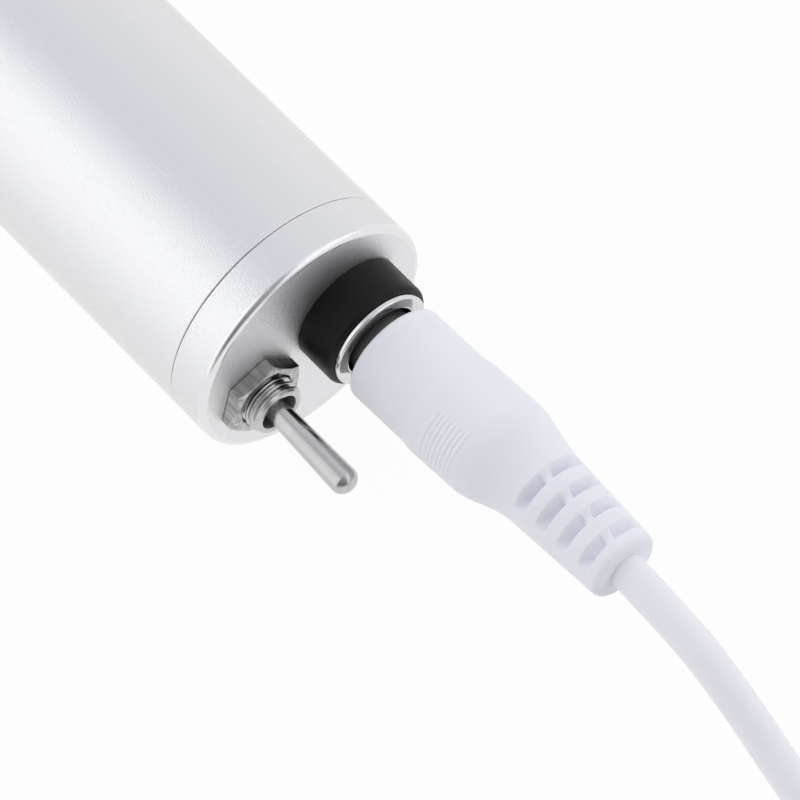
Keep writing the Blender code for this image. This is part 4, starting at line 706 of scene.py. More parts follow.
CORD_VINYL = white_vinyl("cord_vinyl", (0.935, 0.945, 0.985), 0.42)
CONNECTOR_VINYL = white_vinyl("connector_vinyl", (0.915, 0.93, 0.985), 0.5)
RED_VINYL = moulded("red_vinyl", (0.5, 0.015, 0.012), 0.4, 0.000002)
BLACK_VINYL = moulded("black_vinyl", (0.015, 0.015, 0.016), 0.4, 0.000002)
TIE_CLOTH = striped("tie_cloth", (0.02, 0.02, 0.022), 0.8, 0.0, 1500, 0.00004, "Y")
GOLD = plated("gold_plate", (0.85, 0.6, 0.25), 0.18)


# Lead
def fold(middle, radius, side, z0, z1):
    """Half a turn between two heights, clockwise from above, on the far (1) or the near side (-1)."""
    points = []
    for i in range(HANK_FOLD_POINTS + 1):
        turn = pi * i / HANK_FOLD_POINTS
        height = z0 + (z1 - z0) * (1 - cos(turn)) / 2
        way = side * radius * Vector((sin(turn), cos(turn), 0))
        points.append(middle + way + Vector((0, 0, height)))
    return points


def hank_points():
    """Six turns in two columns and three layers. Each changes column or layer in its near fold."""
    far = HANK_CORNER + Vector((HANK_RUN, 0, 0))
    radii = [HANK_INNER_R + HANK_STEP * column for column, _, _ in HANK_TURNS] + [HANK_INNER_R]
    heights = [HANK_LOW_Z + HANK_STEP * layer for _, layer, _ in HANK_TURNS] + [CONNECTOR_Z]
    points = []
    for i, (_, _, steps) in enumerate(HANK_TURNS):
        points += fold(far, radii[i], 1, heights[i], heights[i])
        radius = (radii[i] + radii[i + 1]) / 2
        reach = HANK_INNER_R + HANK_STEP * steps
        middle = HANK_CORNER + Vector((radius - reach, radii[i + 1] - radius, 0))
        points += fold(middle, radius, -1, heights[i], heights[i + 1])
    return [*points, points[-1] + Vector((TAIL_LENGTH, 0, 0))]


def make_lead(connector):
    """The whole white cord as one curve, from the plug through the hank to the connector."""
    route = [Vector((SEAM.x + x, y, z)) for x, y, z in LEAD_ROUTE]
    points = smooth_path(route, ROUTE_STEPS) + hank_points()
    curve = bpy.data.curves.new("lead", "CURVE")
    curve.dimensions = "3D"
    curve.bevel_depth = CORD_D / 2
    curve.bevel_resolution = CORD_STEPS
    curve.use_fill_caps = True
    spline = curve.splines.new("POLY")
    spline.points.add(len(points) - 1)
    for knot, point in zip(spline.points, points):
        knot.co = (*point, 1)
    spline.use_smooth = True
    lead = add_object("lead", curve)
    dress(lead, "power_lead", "white_vinyl", CORD_VINYL, "cord", "cord_coil")


def make_tie():
    """A hook-and-loop strap round all the hank's runs, halfway along it."""
    width = 2 * (HANK_INNER_R + HANK_STEP) + CORD_D + 2 * TIE_GAP
    height = HANK_TOP_Z - HANK_FLOOR_SPACE + 2 * TIE_GAP
    centre = HANK_CORNER + Vector((HANK_RUN / 2, 0, (HANK_TOP_Z + HANK_FLOOR_SPACE) / 2))
    thick = 2 * TIE_THICKNESS
    inside = rounded_rectangle(width, height, TIE_CORNER)
    outside = rounded_rectangle(width + thick, height + thick, TIE_CORNER + TIE_THICKNESS)
    edge = TIE_THICKNESS / 3
    half = TIE_WIDTH / 2
    flat = half - edge
    loops = []
    for inner, outer in zip(inside, outside):
        way = (Vector(outer) - Vector(inner)).normalized() * edge
        low, high = Vector(inner) + way, Vector(outer) - way
        section = [(-flat, inner), (flat, inner), (half, low), (half, high)]
        section += [(flat, outer), (-flat, outer), (-half, high), (-half, low)]
        loops.append([(x, y, z) for x, (y, z) in section])
    tie = lofted("lead_tie", loops, centre, True, SOFT_SHARP_ANGLE)
    dress(tie, "power_lead", "black_plastic", TIE_CLOTH, "cord_tie")


# Connector on the lead's far end
def connector_place():
    return hank_points()[-1] + Vector((SEAT_GAP, 0, 0))


def make_connector_body():
    """A round relief with grooves that opens into a flat grip."""
    front = USB_RELIEF_LENGTH + USB_LENGTH
    edge = USB_CORNER / 3
    tip, root = 2 * USB_RELIEF_R, 2 * USB_RELIEF_ROOT_R
    sections = [(0, tip - 2 * edge, tip - 2 * edge), (edge, tip, tip)]
    for i in range(USB_GROOVES):
        start = USB_GROOVE_PITCH * (i + USB_GROOVE_START)
        width = tip + (root - tip) * start / USB_RELIEF_LENGTH
        low = width - 2 * USB_GROOVE_DEPTH
        for share, size in zip(USB_GROOVE_SHARES, (width, low, low, width)):
            sections.append((start + share * USB_GROOVE_PITCH, size, size))
    for i in range(FLARE_STEPS + 1):
        share = i / FLARE_STEPS
        sizes = [root + (size - root) * ease(share) for size in (USB_WIDTH, USB_HEIGHT)]
        sections.append((USB_RELIEF_LENGTH - edge + (USB_CORNER + edge) * share, *sizes))
    for back, inset in USB_END_ROUNDING:
        sections.append((front - back * edge, USB_WIDTH - inset * edge, USB_HEIGHT - inset * edge))
    loops = []
    for x, width, height in sections:
        roundness = ease((x - USB_RELIEF_LENGTH + edge) / (USB_CORNER + edge))
        full = min(width, height) / 2 - FLAT_GAP
        corner = full + (USB_CORNER - full) * roundness
        outline = rounded_rectangle(width, height, corner, GRIP_CORNER_STEPS)
        loops.append([(x, y, z) for y, z in outline])
    body = even_shading(lofted("connector_body", loops, connector_place(), sharp=LOFT_SHARP_ANGLE))
    return dress(body, "power_lead", "white_vinyl", CONNECTOR_VINYL, "usb_housing")


def make_connector_shell():
    """The folded steel shell, with its four square windows."""
    start = USB_RELIEF_LENGTH + USB_LENGTH + FLAT_GAP
    end = start + SHELL_LENGTH
    wall = 2 * SHELL_WALL
    outer = rounded_rectangle(SHELL_WIDTH, SHELL_HEIGHT, SHELL_WALL)
    inner = rounded_rectangle(SHELL_WIDTH - wall, SHELL_HEIGHT - wall, SHELL_WALL / 2)
    outlines = ((start, inner), (start, outer), (end, outer), (end, inner))
    loops = [[(x, y, z) for y, z in outline] for x, outline in outlines]
    shell = lofted("connector_shell", loops, connector_place(), True)
    half = SHELL_WINDOW / 2
    x = end - SHELL_WINDOW_FROM_END
    for side in (-1, 1):
        y = side * SHELL_WINDOW_SPACING / 2
        spans = (x - half, x + half), (y - half, y + half), (-SHELL_HEIGHT, SHELL_HEIGHT)
        combine(shell, block("window", *spans, connector_place()))
    bevel(shell, SHELL_WALL / 4)
    return dress(shell, "power_lead", "bright_steel", BRIGHT_STEEL, "usb_shell")


def make_connector_contacts():
    """Four gold-plated strips on the tongue."""
    low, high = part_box("usb_tongue")
    x = high.x - CONTACT_LENGTH / 2 - OVERRUN
    z = high.z + CONTACT_THICKNESS / 2 - FLAT_GAP
    size = Matrix.Diagonal((CONTACT_LENGTH, CONTACT_WIDTH, CONTACT_THICKNESS, 1))
    bm = bmesh.new()
    for i in range(CONTACT_COUNT):
        y = (low.y + high.y) / 2 + (i - (CONTACT_COUNT - 1) / 2) * CONTACT_SPACING
        made = bmesh.ops.create_cube(bm, size=1, matrix=Matrix.Translation((x, y, z)) @ size)
        edges = {edge for vert in made["verts"] for edge in vert.link_edges}
        bmesh.ops.bevel(bm, geom=list(edges), offset=CONTACT_THICKNESS / 4, segments=2, affect="EDGES")
    contacts = add_object("connector_contacts", finish_mesh("connector_contacts", bm))
    return dress(contacts, "power_lead", "brass", GOLD)


# Housing
def make_tube():
    ends = [(-TUBE_LENGTH, BODY_R, SEAM_CHAMFER), (0, BODY_R, SEAM_CHAMFER)]
    profile = [(-TUBE_LENGTH, BORE_R), *ends, (0, BORE_R)]
    tube = turned("body_tube", profile, ring=True, sides=BODY_SIDES)
    dress(tube, "housing", "satin_aluminium", ALUMINIUM, "housing_tube")


def make_end_cap():
    """The thick rear plate with its filleted edge, and the holes for the switch and the socket."""
    spigot = BORE_R - SEAT_GAP
    hollow = spigot - SPIGOT_WALL
    profile = [
        (0, hollow), (-SPIGOT_LENGTH, hollow), (-SPIGOT_LENGTH, spigot), (FLAT_GAP, spigot),
        (FLAT_GAP, BODY_R, SEAM_CHAMFER), (REAR_FACE, BODY_R, EDGE_FILLET),
        (REAR_FACE, BODY_R - 3 * EDGE_FILLET),
    ]
    cap = turned("end_cap", profile, sides=BODY_SIDES)
    for radius, place in ((BUSHING_R + SEAT_GAP, SWITCH), (JACK_NECK_R + SEAT_GAP, JACK)):
        hole = [(x, radius) for x in (-OVERRUN, REAR_FACE + OVERRUN)]
        combine(cap, turned("hole", hole, place))
    low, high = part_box("switch_case")
    heights = (low.z - SEAM.z - SEAT_GAP, high.z - SEAM.z + SEAT_GAP)
    notch = (-SPIGOT_LENGTH - OVERRUN, -FLAT_GAP), (-BODY_R, high.y + SEAT_GAP), heights
    combine(cap, block("case_notch", *notch))
    dress(cap, "housing", "satin_aluminium", ALUMINIUM, "rear_cap")
    fillet = REAR_FACE - EDGE_FILLET
    repaint(cap, FACE_ALUMINIUM, lambda at, way: way.x > FLAT_FACING and at.x > REAR_FACE - FLAT_GAP)
    repaint(cap, EDGE_ALUMINIUM, lambda at, way: EDGE_FACING < way.x < FLAT_FACING and at.x > fillet)


def make_nose_cap():
    """The front plate that the motor is screwed to, tapering towards the chuck."""
    spigot = BORE_R - SEAT_GAP
    back = -TUBE_LENGTH + FRONT_SPIGOT_LENGTH
    face = -TUBE_LENGTH - FRONT_CAP_THICKNESS
    rim = -TUBE_LENGTH - FLAT_GAP
    profile = [
        (back, BOSS_HOLE_R), (back, spigot), (rim, spigot), (rim, BODY_R, SEAM_CHAMFER),
        (face + FRONT_CONE_LENGTH, BODY_R, FRONT_EDGE_FILLET),
        (face, FRONT_FACE_R, FRONT_EDGE_FILLET), (face, BOSS_HOLE_R, FRONT_EDGE_FILLET),
    ]
    cap = turned("nose_cap", profile, ring=True, sides=BODY_SIDES)
    head_room = face + SCREW_HEAD_HEIGHT + SEAT_GAP
    hole = [
        (face - OVERRUN, SCREW_HEAD_R + SEAT_GAP), (head_room, SCREW_HEAD_R + SEAT_GAP),
        (head_room, SCREW_R + SEAT_GAP), (back + OVERRUN, SCREW_R + SEAT_GAP),
    ]
    for place in SCREWS:
        combine(cap, turned("screw_hole", hole, place, sides=SMALL_SIDES))
    dress(cap, "housing", "satin_aluminium", ALUMINIUM, "front_cap")
    repaint(cap, FACE_ALUMINIUM, lambda at, way: way.x < -FLAT_FACING and at.x < face + FLAT_GAP)


def make_screws():
    head = -TUBE_LENGTH - FRONT_CAP_THICKNESS + SEAT_GAP
    shoulder = head + SCREW_HEAD_HEIGHT - SEAT_GAP
    end = head + SCREW_LENGTH
    half = SCREW_SLOT_WIDTH / 2
    profile = [
        (head, SCREW_HEAD_R / 2), (head, SCREW_HEAD_R, half), (shoulder, SCREW_HEAD_R),
        (shoulder, SCREW_R), (end, SCREW_R, half), (end, SCREW_R / 2),
    ]
    across = 2 * SCREW_HEAD_R
    slot = (head - OVERRUN, head + SCREW_SLOT_DEPTH), (-across, across), (-half, half)
    for i, place in enumerate(SCREWS):
        screw = turned(f"nose_screw_{i + 1}", profile, place, sides=SMALL_SIDES)
        combine(screw, block("slot", *slot, place))
        dress(screw, "housing", "bright_steel", BRIGHT_STEEL, f"motor_screw_{i + 1}")


# Chuck
def jaw_cylinder(name, radius, start, end, turn):
    """A round bar along a jaw's sloping line, between two distances behind the nose."""
    across = Vector((-sin(JAW_ANGLE), 0, cos(JAW_ANGLE)))
    side = Vector((0, 1, 0))
    loops = []
    for distance in (start, end):
        middle = Vector((NOSE + distance, 0, JAW_LINE_OFFSET + distance * tan(JAW_ANGLE)))
        ways = [cos(a) * side + sin(a) * across for a in full_turn(SMALL_SIDES)]
        loops.append([middle + radius * way for way in ways])
    bar = lofted(name, loops)
    bar.rotation_euler = (turn, 0, 0)
    return bar


def make_chuck_core():
    back = NOSE + CHUCK_LENGTH
    groove_start = NOSE + NUT_START - SEAT_GAP
    groove_end = NOSE + NUT_START + NUT_LENGTH + SEAT_GAP
    collar_start = back - COLLAR_LENGTH
    profile = [
        (NOSE + BIT_HOLE_DEPTH, BIT_HOLE_R), (NOSE, BIT_HOLE_R, NOSE_CHAMFER / 2),
        (NOSE, NOSE_R, NOSE_CHAMFER), (NOSE + NOSE_CONE_LENGTH, CHUCK_CORE_R, NOSE_CHAMFER),
        (groove_start, CHUCK_CORE_R), (groove_start, NUT_GROOVE_R), (groove_end, NUT_GROOVE_R),
        (groove_end, CHUCK_CORE_R), (collar_start, CHUCK_CORE_R),
        (collar_start, COLLAR_R, COLLAR_CHAMFER), (back, COLLAR_R, COLLAR_CHAMFER),
        (back, ARBOR_R + SEAT_GAP), (back - ARBOR_HOLE_DEPTH, ARBOR_TIP_R + SEAT_GAP),
    ]
    body = turned("chuck_core", profile, sides=BODY_SIDES)
    key_middle = SEAM + Vector((back - KEY_HOLE_FROM_REAR, 0, 0))
    floor = COLLAR_R - KEY_HOLE_DEPTH
    mouth = COLLAR_R - COLLAR_CHAMFER / 2
    key_hole = [
        (floor, KEY_HOLE_R), (mouth, KEY_HOLE_R),
        (mouth + COLLAR_CHAMFER, KEY_HOLE_R + COLLAR_CHAMFER),
        (mouth + COLLAR_CHAMFER + OVERRUN, KEY_HOLE_R + COLLAR_CHAMFER),
    ]
    for i in range(JAW_COUNT):
        turn = 2 * pi * i / JAW_COUNT
        combine(body, jaw_cylinder("jaw_bore", JAW_R + JAW_BORE_GAP, -2 * OVERRUN, JAW_BORE_DEPTH, turn))
        hole = turned("key_hole", key_hole, key_middle, sides=SMALL_SIDES)
        around = turn + pi / JAW_COUNT
        outwards = Vector((0, -sin(around), cos(around)))
        hole.rotation_mode = "QUATERNION"
        hole.rotation_quaternion = Vector((1, 0, 0)).rotation_difference(outwards)
        combine(body, hole)
    dress(body, "spindle", "bright_steel", BRIGHT_STEEL, "chuck_body")


def make_chuck_sleeve():
    """The ring that the key turns. Its rear edge has the bevel teeth."""
    sides = SLEEVE_TEETH * TOOTH_STEPS
    front = NOSE + SLEEVE_START
    back = NOSE + CHUCK_LENGTH - COLLAR_LENGTH - SEAT_GAP
    inner = CHUCK_CORE_R + SEAT_GAP
    edge = SLEEVE_FRONT_TAPER / 5
    smooth = [
        (front, inner, edge), (front, SLEEVE_FRONT_R, edge),
        (front + SLEEVE_FRONT_TAPER, SLEEVE_R, edge), (back - 2 * TOOTH_HEIGHT, SLEEVE_R),
    ]
    loops = [circle(x, r, sides) for x, r in [(front + edge, inner), *filleted(smooth, False)]]
    for setback, drop, toothed in SLEEVE_EDGE:
        loop = circle(back - setback * TOOTH_HEIGHT, SLEEVE_R - drop * TOOTH_HEIGHT, sides)
        if toothed:
            for i, (x, y, z) in enumerate(loop):
                phase = abs(2 * i / TOOTH_STEPS % 2 - 1)
                gap = 1 - ease((phase - TOOTH_GAP_SHARE) / TOOTH_FLANK_SHARE)
                loop[i] = (x - gap * TOOTH_HEIGHT, y, z)
        loops.append(loop)
    loops.append(circle(back, inner, sides))
    sleeve = even_shading(lofted("chuck_ring", loops, ring=True))
    dress(sleeve, "sleeve", "bright_steel", BRIGHT_STEEL, "chuck_sleeve")


def slice_mesh(bm, point, normal):
    """Cuts away what lies on the side that the normal points to, and closes the cut."""
    plane = {"plane_co": point, "plane_no": normal, "clear_outer": True, "dist": 0}
    made = bmesh.ops.bisect_plane(bm, geom=[*bm.verts, *bm.edges, *bm.faces], **plane)
    rim = [item for item in made["geom_cut"] if isinstance(item, bmesh.types.BMEdge)]
    bmesh.ops.edgeloop_fill(bm, edges=rim)


def make_jaws():
    """Three jaws, shut, each with its sloping back round and its three front faces ground."""
    for i, body in enumerate(("first_jaw", "second_jaw", "third_jaw")):
        front = -JAW_REACH
        end = front + JAW_LENGTH
        jaw = jaw_cylinder(f"chuck_jaw_{i + 1}", JAW_R, front - 2 * JAW_R, end + 2 * JAW_R, 0)
        bm = bmesh.new()
        bm.from_mesh(jaw.data)
        slice_mesh(bm, (NOSE + front, 0, 0), (-1, 0, 0))
        slice_mesh(bm, (NOSE + end, 0, 0), (1, 0, 0))
        for side in (1, -1):
            edge = side * pi / JAW_COUNT
            normal = Vector((0, side * cos(edge), -abs(sin(edge))))
            slice_mesh(bm, -normal * JAW_MEET_GAP / 2, normal)
        jaw.data = finish_mesh(jaw.name, bm)
        jaw.rotation_euler = (2 * pi * i / JAW_COUNT, 0, 0)
        bevel(jaw, JAW_BEVEL)
        dress(jaw, body, "dark_steel", DARK_STEEL, f"jaw_{i + 1}")


def make_arbor():
    """The brass adapter between the shaft and the chuck, with its two set screws."""
    bore = SHAFT_R + FIT_GAP
    tip = NOSE + CHUCK_LENGTH - ARBOR_HOLE_DEPTH + SEAT_GAP
    shoulder = NOSE + CHUCK_LENGTH + SEAT_GAP
    back = shoulder + ARBOR_COLLAR_LENGTH
    edge = COLLAR_CHAMFER / 2
    profile = [
        (tip, bore), (tip, ARBOR_TIP_R), (shoulder, ARBOR_R), (shoulder, ARBOR_COLLAR_R, edge),
        (back, ARBOR_COLLAR_R, edge), (back, bore),
    ]
    arbor = turned("arbor", profile, ring=True)
    middle = SEAM + Vector((shoulder + ARBOR_COLLAR_LENGTH / 2, 0, 0))
    hole = [(side * 2 * ARBOR_COLLAR_R, SET_SCREW_R + FIT_GAP) for side in (-1, 1)]
    cutter = turned("set_screw_hole", hole, middle, sides=SMALL_SIDES)
    cutter.rotation_euler = (0, pi / 2, 0)
    combine(arbor, cutter)
    dress(arbor, "spindle", "brass", BRASS, "chuck_arbor")
    outer = ARBOR_COLLAR_R - SET_SCREW_SUNK
    screw = [(bore, SET_SCREW_R), (outer, SET_SCREW_R, edge / 2), (outer, SET_SCREW_R / 2)]
    for i, turn in enumerate((-pi / 2, pi / 2)):
        made = turned(f"grub_screw_{i + 1}", screw, middle, sides=SMALL_SIDES)
        socket = [(x, SET_SCREW_SOCKET_R) for x in (outer - SET_SCREW_SOCKET_DEPTH, outer + OVERRUN)]
        combine(made, turned("socket", socket, middle, sides=6))
        made.rotation_euler = (0, turn, 0)
        dress(made, "spindle", "dark_steel", DARK_STEEL, f"set_screw_{i + 1}")


# Toggle switch
def make_bushing():
    """The bushing with its true thread, which is a helical wave on its side."""
    end = REAR_FACE + BUSHING_OUT
    thread_end = end - BUSHING_CHAMFER
    root = BUSHING_R - THREAD_DEPTH
    count = round((thread_end - THREAD_START) / THREAD_PITCH * THREAD_STEPS)
    rim = [(end, BUSHING_BORE_R + FLAT_GAP), (end - FLAT_GAP, BUSHING_BORE_R)]
    bottom = [(BUSHING_START, BUSHING_BORE_R), (BUSHING_START, root)]
    loops = [circle(x, r, SMALL_SIDES) for x, r in rim + bottom]
    for i in range(count + 1):
        x = THREAD_START + (thread_end - THREAD_START) * i / count
        fade = ease((x - THREAD_START) / THREAD_PITCH)
        outside = BUSHING_END_R + (end - x) * (BUSHING_R - BUSHING_END_R) / BUSHING_CHAMFER
        loop = []
        for k, angle in enumerate(full_turn(SMALL_SIDES)):
            phase = (x / THREAD_PITCH - k / SMALL_SIDES) % 1
            crest = ease(THREAD_CREST - THREAD_FLANK * abs(2 * phase - 1))
            radius = min(root + THREAD_DEPTH * crest * fade, outside)
            loop.append((x, radius * cos(angle), radius * sin(angle)))
        loops.append(loop)
    loops.append(circle(end - FLAT_GAP, BUSHING_END_R, SMALL_SIDES))
    loops.append(circle(end, BUSHING_END_R - FLAT_GAP, SMALL_SIDES))
    bushing = lofted("bushing", loops, SWITCH, True, LOFT_SHARP_ANGLE)
    dress(bushing, "housing", "nickel", NICKEL, "switch_bushing")
    wall = (BUSHING_BORE_R + root) / 2
    repaint(bushing, DULL_NICKEL, lambda at, way: hypot(at.y, at.z) < wall and at.x < end - FLAT_GAP)


def make_nut():
    """A hexagon nut, its corners turned down on the outer side."""
    x0 = REAR_FACE + FLAT_GAP
    x1 = x0 + NUT_THICKNESS
    corner = NUT_ACROSS_FLATS / sqrt(3)
    nut = lofted("hex_nut", [circle(x, corner, 6) for x in (x0, x1)], SWITCH)
    flat_r = NUT_ACROSS_FLATS / 2 - NUT_BEVEL
    drop = tan(NUT_TURNING_ANGLE) * (corner - flat_r)
    bore = BUSHING_R + FIT_GAP
    rim = 2 * NUT_BEVEL
    envelope = [
        (x0 - OVERRUN, bore), (x0 - OVERRUN, corner + OVERRUN), (x1 - drop, corner + OVERRUN),
        (x1 - drop, corner), (x1, flat_r), (x1, bore + rim), (x1 - rim, bore),
    ]
    combine(nut, turned("envelope", envelope, SWITCH, ring=True, sides=BODY_SIDES), "INTERSECT")
    bevel(nut, NUT_BEVEL / 2)
    dress(nut, "housing", "nickel", NUT_NICKEL, "switch_nut")


def make_lever():
    """The bat lever on its ball, with the thin tail that works the contact."""
    length = LEVER_PIVOT_DEPTH + LEVER_OUT
    first = -acos(LEVER_TAIL_R / LEVER_BALL_R)
    last = acos(LEVER_ROOT_R / LEVER_BALL_R)
    ball = [first + (last - first) * i / DOME_STEPS for i in range(DOME_STEPS + 1)]
    tip = [pi / 2 * i / DOME_STEPS for i in range(DOME_STEPS)]
    profile = [
        (-LEVER_TAIL_LENGTH, LEVER_TAIL_R),
        *[(LEVER_BALL_R * sin(a), LEVER_BALL_R * cos(a)) for a in ball],
        *[(length - LEVER_TIP_DOME * (1 - sin(a)), LEVER_TIP_R * cos(a)) for a in tip],
    ]
    pivot = SWITCH + Vector((REAR_FACE + BUSHING_OUT - LEVER_PIVOT_DEPTH, 0, 0))
    lever = turned("bat_lever", profile, pivot)
    lever.rotation_euler = (0, LEVER_TILT, 0)
    dress(lever, "lever", "nickel", NICKEL, "toggle_lever")


# Power socket
def make_socket():
    bore = RING_BORE_R + RING_SLEEVE_WALL + FIT_GAP
    seat = REAR_FACE + FLAT_GAP
    face = REAR_FACE + JACK_PROUD
    profile = [
        (-JACK_BACK, bore), (-JACK_BACK, JACK_NECK_R), (seat, JACK_NECK_R),
        (seat, JACK_R, JACK_FILLET / 8), (face, JACK_R, JACK_FILLET), (face, bore),
    ]
    body = turned("socket_body", profile, JACK, ring=True)
    dress(body, "housing", "black_plastic", BLACK_PLASTIC, "jack_body")


def make_socket_ring():
    """The plated outer contact, whose flange shows as a bright ring in the socket's mouth."""
    sleeve = RING_BORE_R + RING_SLEEVE_WALL
    seat = REAR_FACE + JACK_PROUD + FLAT_GAP
    face = seat + RING_FLANGE
    profile = [
        (-RING_BACK, RING_BORE_R), (-RING_BACK, sleeve), (seat, sleeve), (seat, RING_R),
        (face, RING_R, RING_FILLET), (face, RING_BORE_R, RING_FILLET),
    ]
    ring = turned("socket_ring", profile, JACK, ring=True)
    dress(ring, "housing", "chrome", CHROME, "jack_ring")


def make_socket_core():
    face = REAR_FACE + JACK_PROUD + CORE_PROUD
    floor = CORE_BACK + CORE_FLOOR
    edge = RING_FILLET
    profile = [
        (CORE_BACK, PIN_HOLE_R), (CORE_BACK, CORE_R), (face, CORE_R, edge),
        (face, CORE_BORE_R, edge), (floor, CORE_BORE_R), (floor, PIN_HOLE_R),
    ]
    core = turned("socket_core", profile, JACK, ring=True)
    low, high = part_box("jack_contact")
    slot = block(
        "contact_slot",
        (CORE_BACK - OVERRUN, high.x - JACK.x + FIT_GAP),
        (low.y - JACK.y - FIT_GAP, high.y - JACK.y + FIT_GAP),
        (low.z - JACK.z - FIT_GAP, high.z - JACK.z + OVERRUN),
        JACK,
    )
    combine(core, slot)
    dress(core, "housing", "grey_plastic", GREY_PLASTIC, "jack_core")


# Plug
def plug_radius(along):
    """The moulding's radius before its ribs and windows, with its steps softened."""
    shares = (-0.5, -0.25, 0, 0.25, 0.5)
    radius = sum(between(PLUG_SHAPE, 1, along + s * PLUG_SOFTENING) for s in shares) / len(shares)
    for edge, left in ((PLUG_EDGE, along), (PLUG_END_FILLET, PLUG_LENGTH - along)):
        if left < edge:
            radius -= edge * (1 - sqrt(1 - (1 - left / edge) ** 2))
    return radius


def rib_share(along):
    """The ribs' height along the plug, from 0 to 1."""
    done = (along - RIB_START) / RIB_PITCH
    if not 0 < done < RIB_COUNT:
        return 0
    return (1 - cos(2 * pi * done)) / 2


def off_middle(angle, middle):
    """How far an angle is from a middle angle, or from the one opposite to it."""
    return abs((angle - middle + pi / 2) % pi - pi / 2)


def rib_reach(angle):
    """How far up the ribs stand round the plug: full on two opposite sides, and none between."""
    return ease((RIB_HALF_ANGLE - off_middle(angle, RIB_MIDDLE_ANGLE)) / RIB_FADE_ANGLE)


def window_share(along):
    """How open the windows are along the relief, from 0 to 1."""
    share = 0
    for i in range(WINDOW_COUNT):
        start = WINDOW_START + i * WINDOW_PITCH
        opened = ease((along - start + WINDOW_FRONT_EDGE) / (2 * WINDOW_FRONT_EDGE))
        closed = ease((along - start - WINDOW_WIDTH + WINDOW_REAR_EDGE) / (2 * WINDOW_REAR_EDGE))
        share = max(share, opened - closed)
    return share


def window_reach(angle):
    """How deep the windows are round the relief: shallow at their thin spines, closed at the sides."""
    off = off_middle(angle, WINDOW_MIDDLE_ANGLE)
    beside_spine = ease((off - SPINE_HALF_ANGLE) / SPINE_FADE_ANGLE)
    inside = ease((WINDOW_HALF_ANGLE - off) / WINDOW_FADE_ANGLE)
    return (SPINE_DEPTH_SHARE + (1 - SPINE_DEPTH_SHARE) * beside_spine) * inside


def plug_stations():
    """Distances along the plug, closer together at the ribs and windows."""
    stations = []
    along = 0
    rib_end = RIB_START + RIB_COUNT * RIB_PITCH
    windows = WINDOW_START - 2 * WINDOW_FRONT_EDGE
    while along < PLUG_LENGTH - PLUG_FINE_STEP / 2:
        stations.append(along)
        fine = along < PLUG_EDGE or RIB_START <= along < rib_end or along > windows
        along += PLUG_FINE_STEP if fine else PLUG_STEP
    return [*stations, PLUG_LENGTH]


def make_plug():
    """The white moulding: grip with ribs, taper, and strain relief with windows between its rings."""
    hole = BARREL_R + SEAT_GAP
    angles = full_turn(PLUG_SIDES)
    ribs = [RIB_HEIGHT * rib_reach(a) for a in angles]
    openings = [window_reach(a) for a in angles]
    loops = [circle(x, hole, PLUG_SIDES) for x in (PLUG_FRONT + BARREL_ROOT, PLUG_FRONT)]
    for along in plug_stations():
        base = plug_radius(along)
        rib = rib_share(along)
        depth = (base - WINDOW_CORE_R) * window_share(along)
        aside = PLUG_SIDESTEP * between(PLUG_SHAPE, 2, along)
        loop = []
        for a, height, opening in zip(angles, ribs, openings):
            radius = base + rib * height - depth * opening
            loop.append((PLUG_FRONT + along, radius * cos(a) + aside, radius * sin(a)))
        loops.append(loop)
    for along in (PLUG_LENGTH, PLUG_LENGTH - CORD_SEAT_DEPTH):
        loop = circle(PLUG_FRONT + along, CORD_D / 2 - FLAT_GAP, PLUG_SIDES)
        loops.append([(x, y + PLUG_SIDESTEP, z) for x, y, z in loop])
    plug = lofted("plug_body", loops, JACK, sharp=SOFT_SHARP_ANGLE)
    dress(plug, "power_lead", "white_vinyl", PLUG_VINYL, "plug_moulding")


def make_plug_sleeve():
    tip = PLUG_FRONT - BARREL_LENGTH
    root = PLUG_FRONT + BARREL_ROOT - SEAT_GAP
    inner = BARREL_R - BARREL_WALL
    profile = [(tip, inner), (tip, BARREL_R, BARREL_WALL / 2), (root, BARREL_R), (root, inner)]
    sleeve = turned("plug_sleeve", profile, JACK, ring=True, sides=SMALL_SIDES)
    dress(sleeve, "power_lead", "chrome", CHROME, "plug_barrel")


# Solids that keep their CAD mesh
def paint_nodes():
    finishes = {
        CAN_STEEL: "motor_can",
        BRASS: "front_bush rear_bush motor_terminal_1 motor_terminal_2 jack_contact",
        GOLD: "jack_pin plug_inner_contact",
        WHITE_NYLON: "motor_end_bell usb_tongue",
        COPPER_STRIP: "motor_brush_1 motor_brush_2 commutator switch_rocker",
        MAGNET: "magnet_1 magnet_2",
        LAMINATIONS: "armature_core",
        COPPER: "motor_winding_1 motor_winding_2 motor_winding_3",
        BRIGHT_STEEL: "motor_shaft",
        DARK_STEEL: "chuck_nut",
        NUT_NICKEL: "switch_frame switch_washer switch_terminal_1 switch_terminal_2 jack_nut",
        BLUE_PLASTIC: "switch_case",
        RED_VINYL: "wire_motor_red wire_jack_red",
        BLACK_VINYL: "wire_motor_black",
    }
    for material, names in finishes.items():
        for name in names.split():
            give_material(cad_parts[name], material)


# Light
def math_node(tree, operation, first, second):
    return add_node(tree, "Math", {0: first, 1: second}, operation=operation).outputs["Value"]


def mix_to_output(tree, output, share, first, second):
    """Sends a mix of two shaders to a tree's output node."""
    mix = add_node(tree, "MixShader", {0: share, 1: first, 2: second})
    tree.links.new(mix.outputs["Shader"], tree.nodes[output].inputs["Surface"])


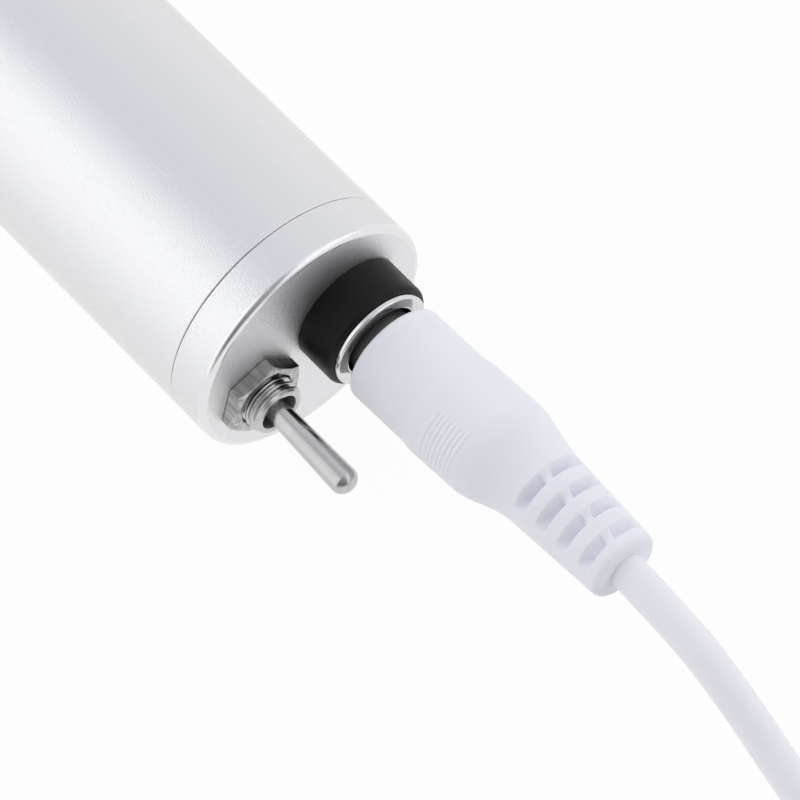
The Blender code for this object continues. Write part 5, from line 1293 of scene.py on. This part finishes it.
def sky(tree, share, stops):
    """A background whose colour runs from the +Y horizon (0) over the top to the -Y horizon (1)."""
    ramp = add_node(tree, "ValToRGB", {"Fac": share})
    elements = ramp.color_ramp.elements
    elements.remove(elements[1])
    elements[0].position, elements[0].color = stops[0][0], (*stops[0][1], 1)
    for position, colour in stops[1:]:
        elements.new(position).color = (*colour, 1)
    inputs = {"Color": ramp.outputs["Color"], "Strength": SKY_STRENGTH}
    return add_node(tree, "Background", inputs).outputs["Background"]


def make_world():
    """A studio: bright panels beyond the chuck, and behind the drill a bright side and a dim side."""
    world = bpy.data.worlds.new("studio")
    bpy.context.scene.world = world
    world.use_nodes = True
    tree = world.node_tree
    direction = add_node(tree, "TexCoord").outputs["Generated"]
    parts = add_node(tree, "SeparateXYZ", {"Vector": direction}).outputs
    share = spread(tree, math_node(tree, "ARCTAN2", parts["Z"], parts["Y"]), 0, 1, 0, pi)
    rearwards = spread(tree, parts["X"], 0, 1, *SKY_CHANGE)
    skies = [sky(tree, share, stops) for stops in (FRONT_SKY, REAR_SKY)]
    mix_to_output(tree, "World Output", rearwards, *skies)


def make_floor():
    """A pale floor. It is seen and mirrored as nearly white, and keeps a trace of the drill's shadow."""
    bm = bmesh.new()
    bmesh.ops.create_circle(bm, cap_ends=True, radius=FLOOR_R, segments=SMALL_SIDES)
    floor = add_object("floor", finish_mesh("floor", bm), (SEAM.x, 0, -FLOOR_DROP))
    material = new_material("floor_white", FLOOR_COLOUR, FLOOR_ROUGHNESS)
    floor.data.materials.append(material)
    tree = material.node_tree
    rays = add_node(tree, "LightPath").outputs
    seen = math_node(tree, "MAXIMUM", rays["Is Camera Ray"], rays["Is Glossy Ray"])
    seen = math_node(tree, "MAXIMUM", seen, rays["Is Transmission Ray"])
    share = math_node(tree, "MULTIPLY", seen, FLOOR_WHITE_SHARE)
    white = add_node(tree, "Emission", {"Color": (1, 1, 1, 1), "Strength": 1})
    shaders = shader_of(material).outputs["BSDF"], white.outputs["Emission"]
    mix_to_output(tree, "Material Output", share, *shaders)


make_camera()
make_lead([make_connector_body(), make_connector_shell(), make_connector_contacts()])
make_tie()
make_tube()
make_end_cap()
make_nose_cap()
make_screws()
make_chuck_core()
make_chuck_sleeve()
make_jaws()
make_arbor()
make_bushing()
make_nut()
make_lever()
make_socket()
make_socket_ring()
make_socket_core()
make_plug()
make_plug_sleeve()
paint_nodes()
make_world()
make_floor()
bpy.context.scene.view_settings.view_transform = "Standard"
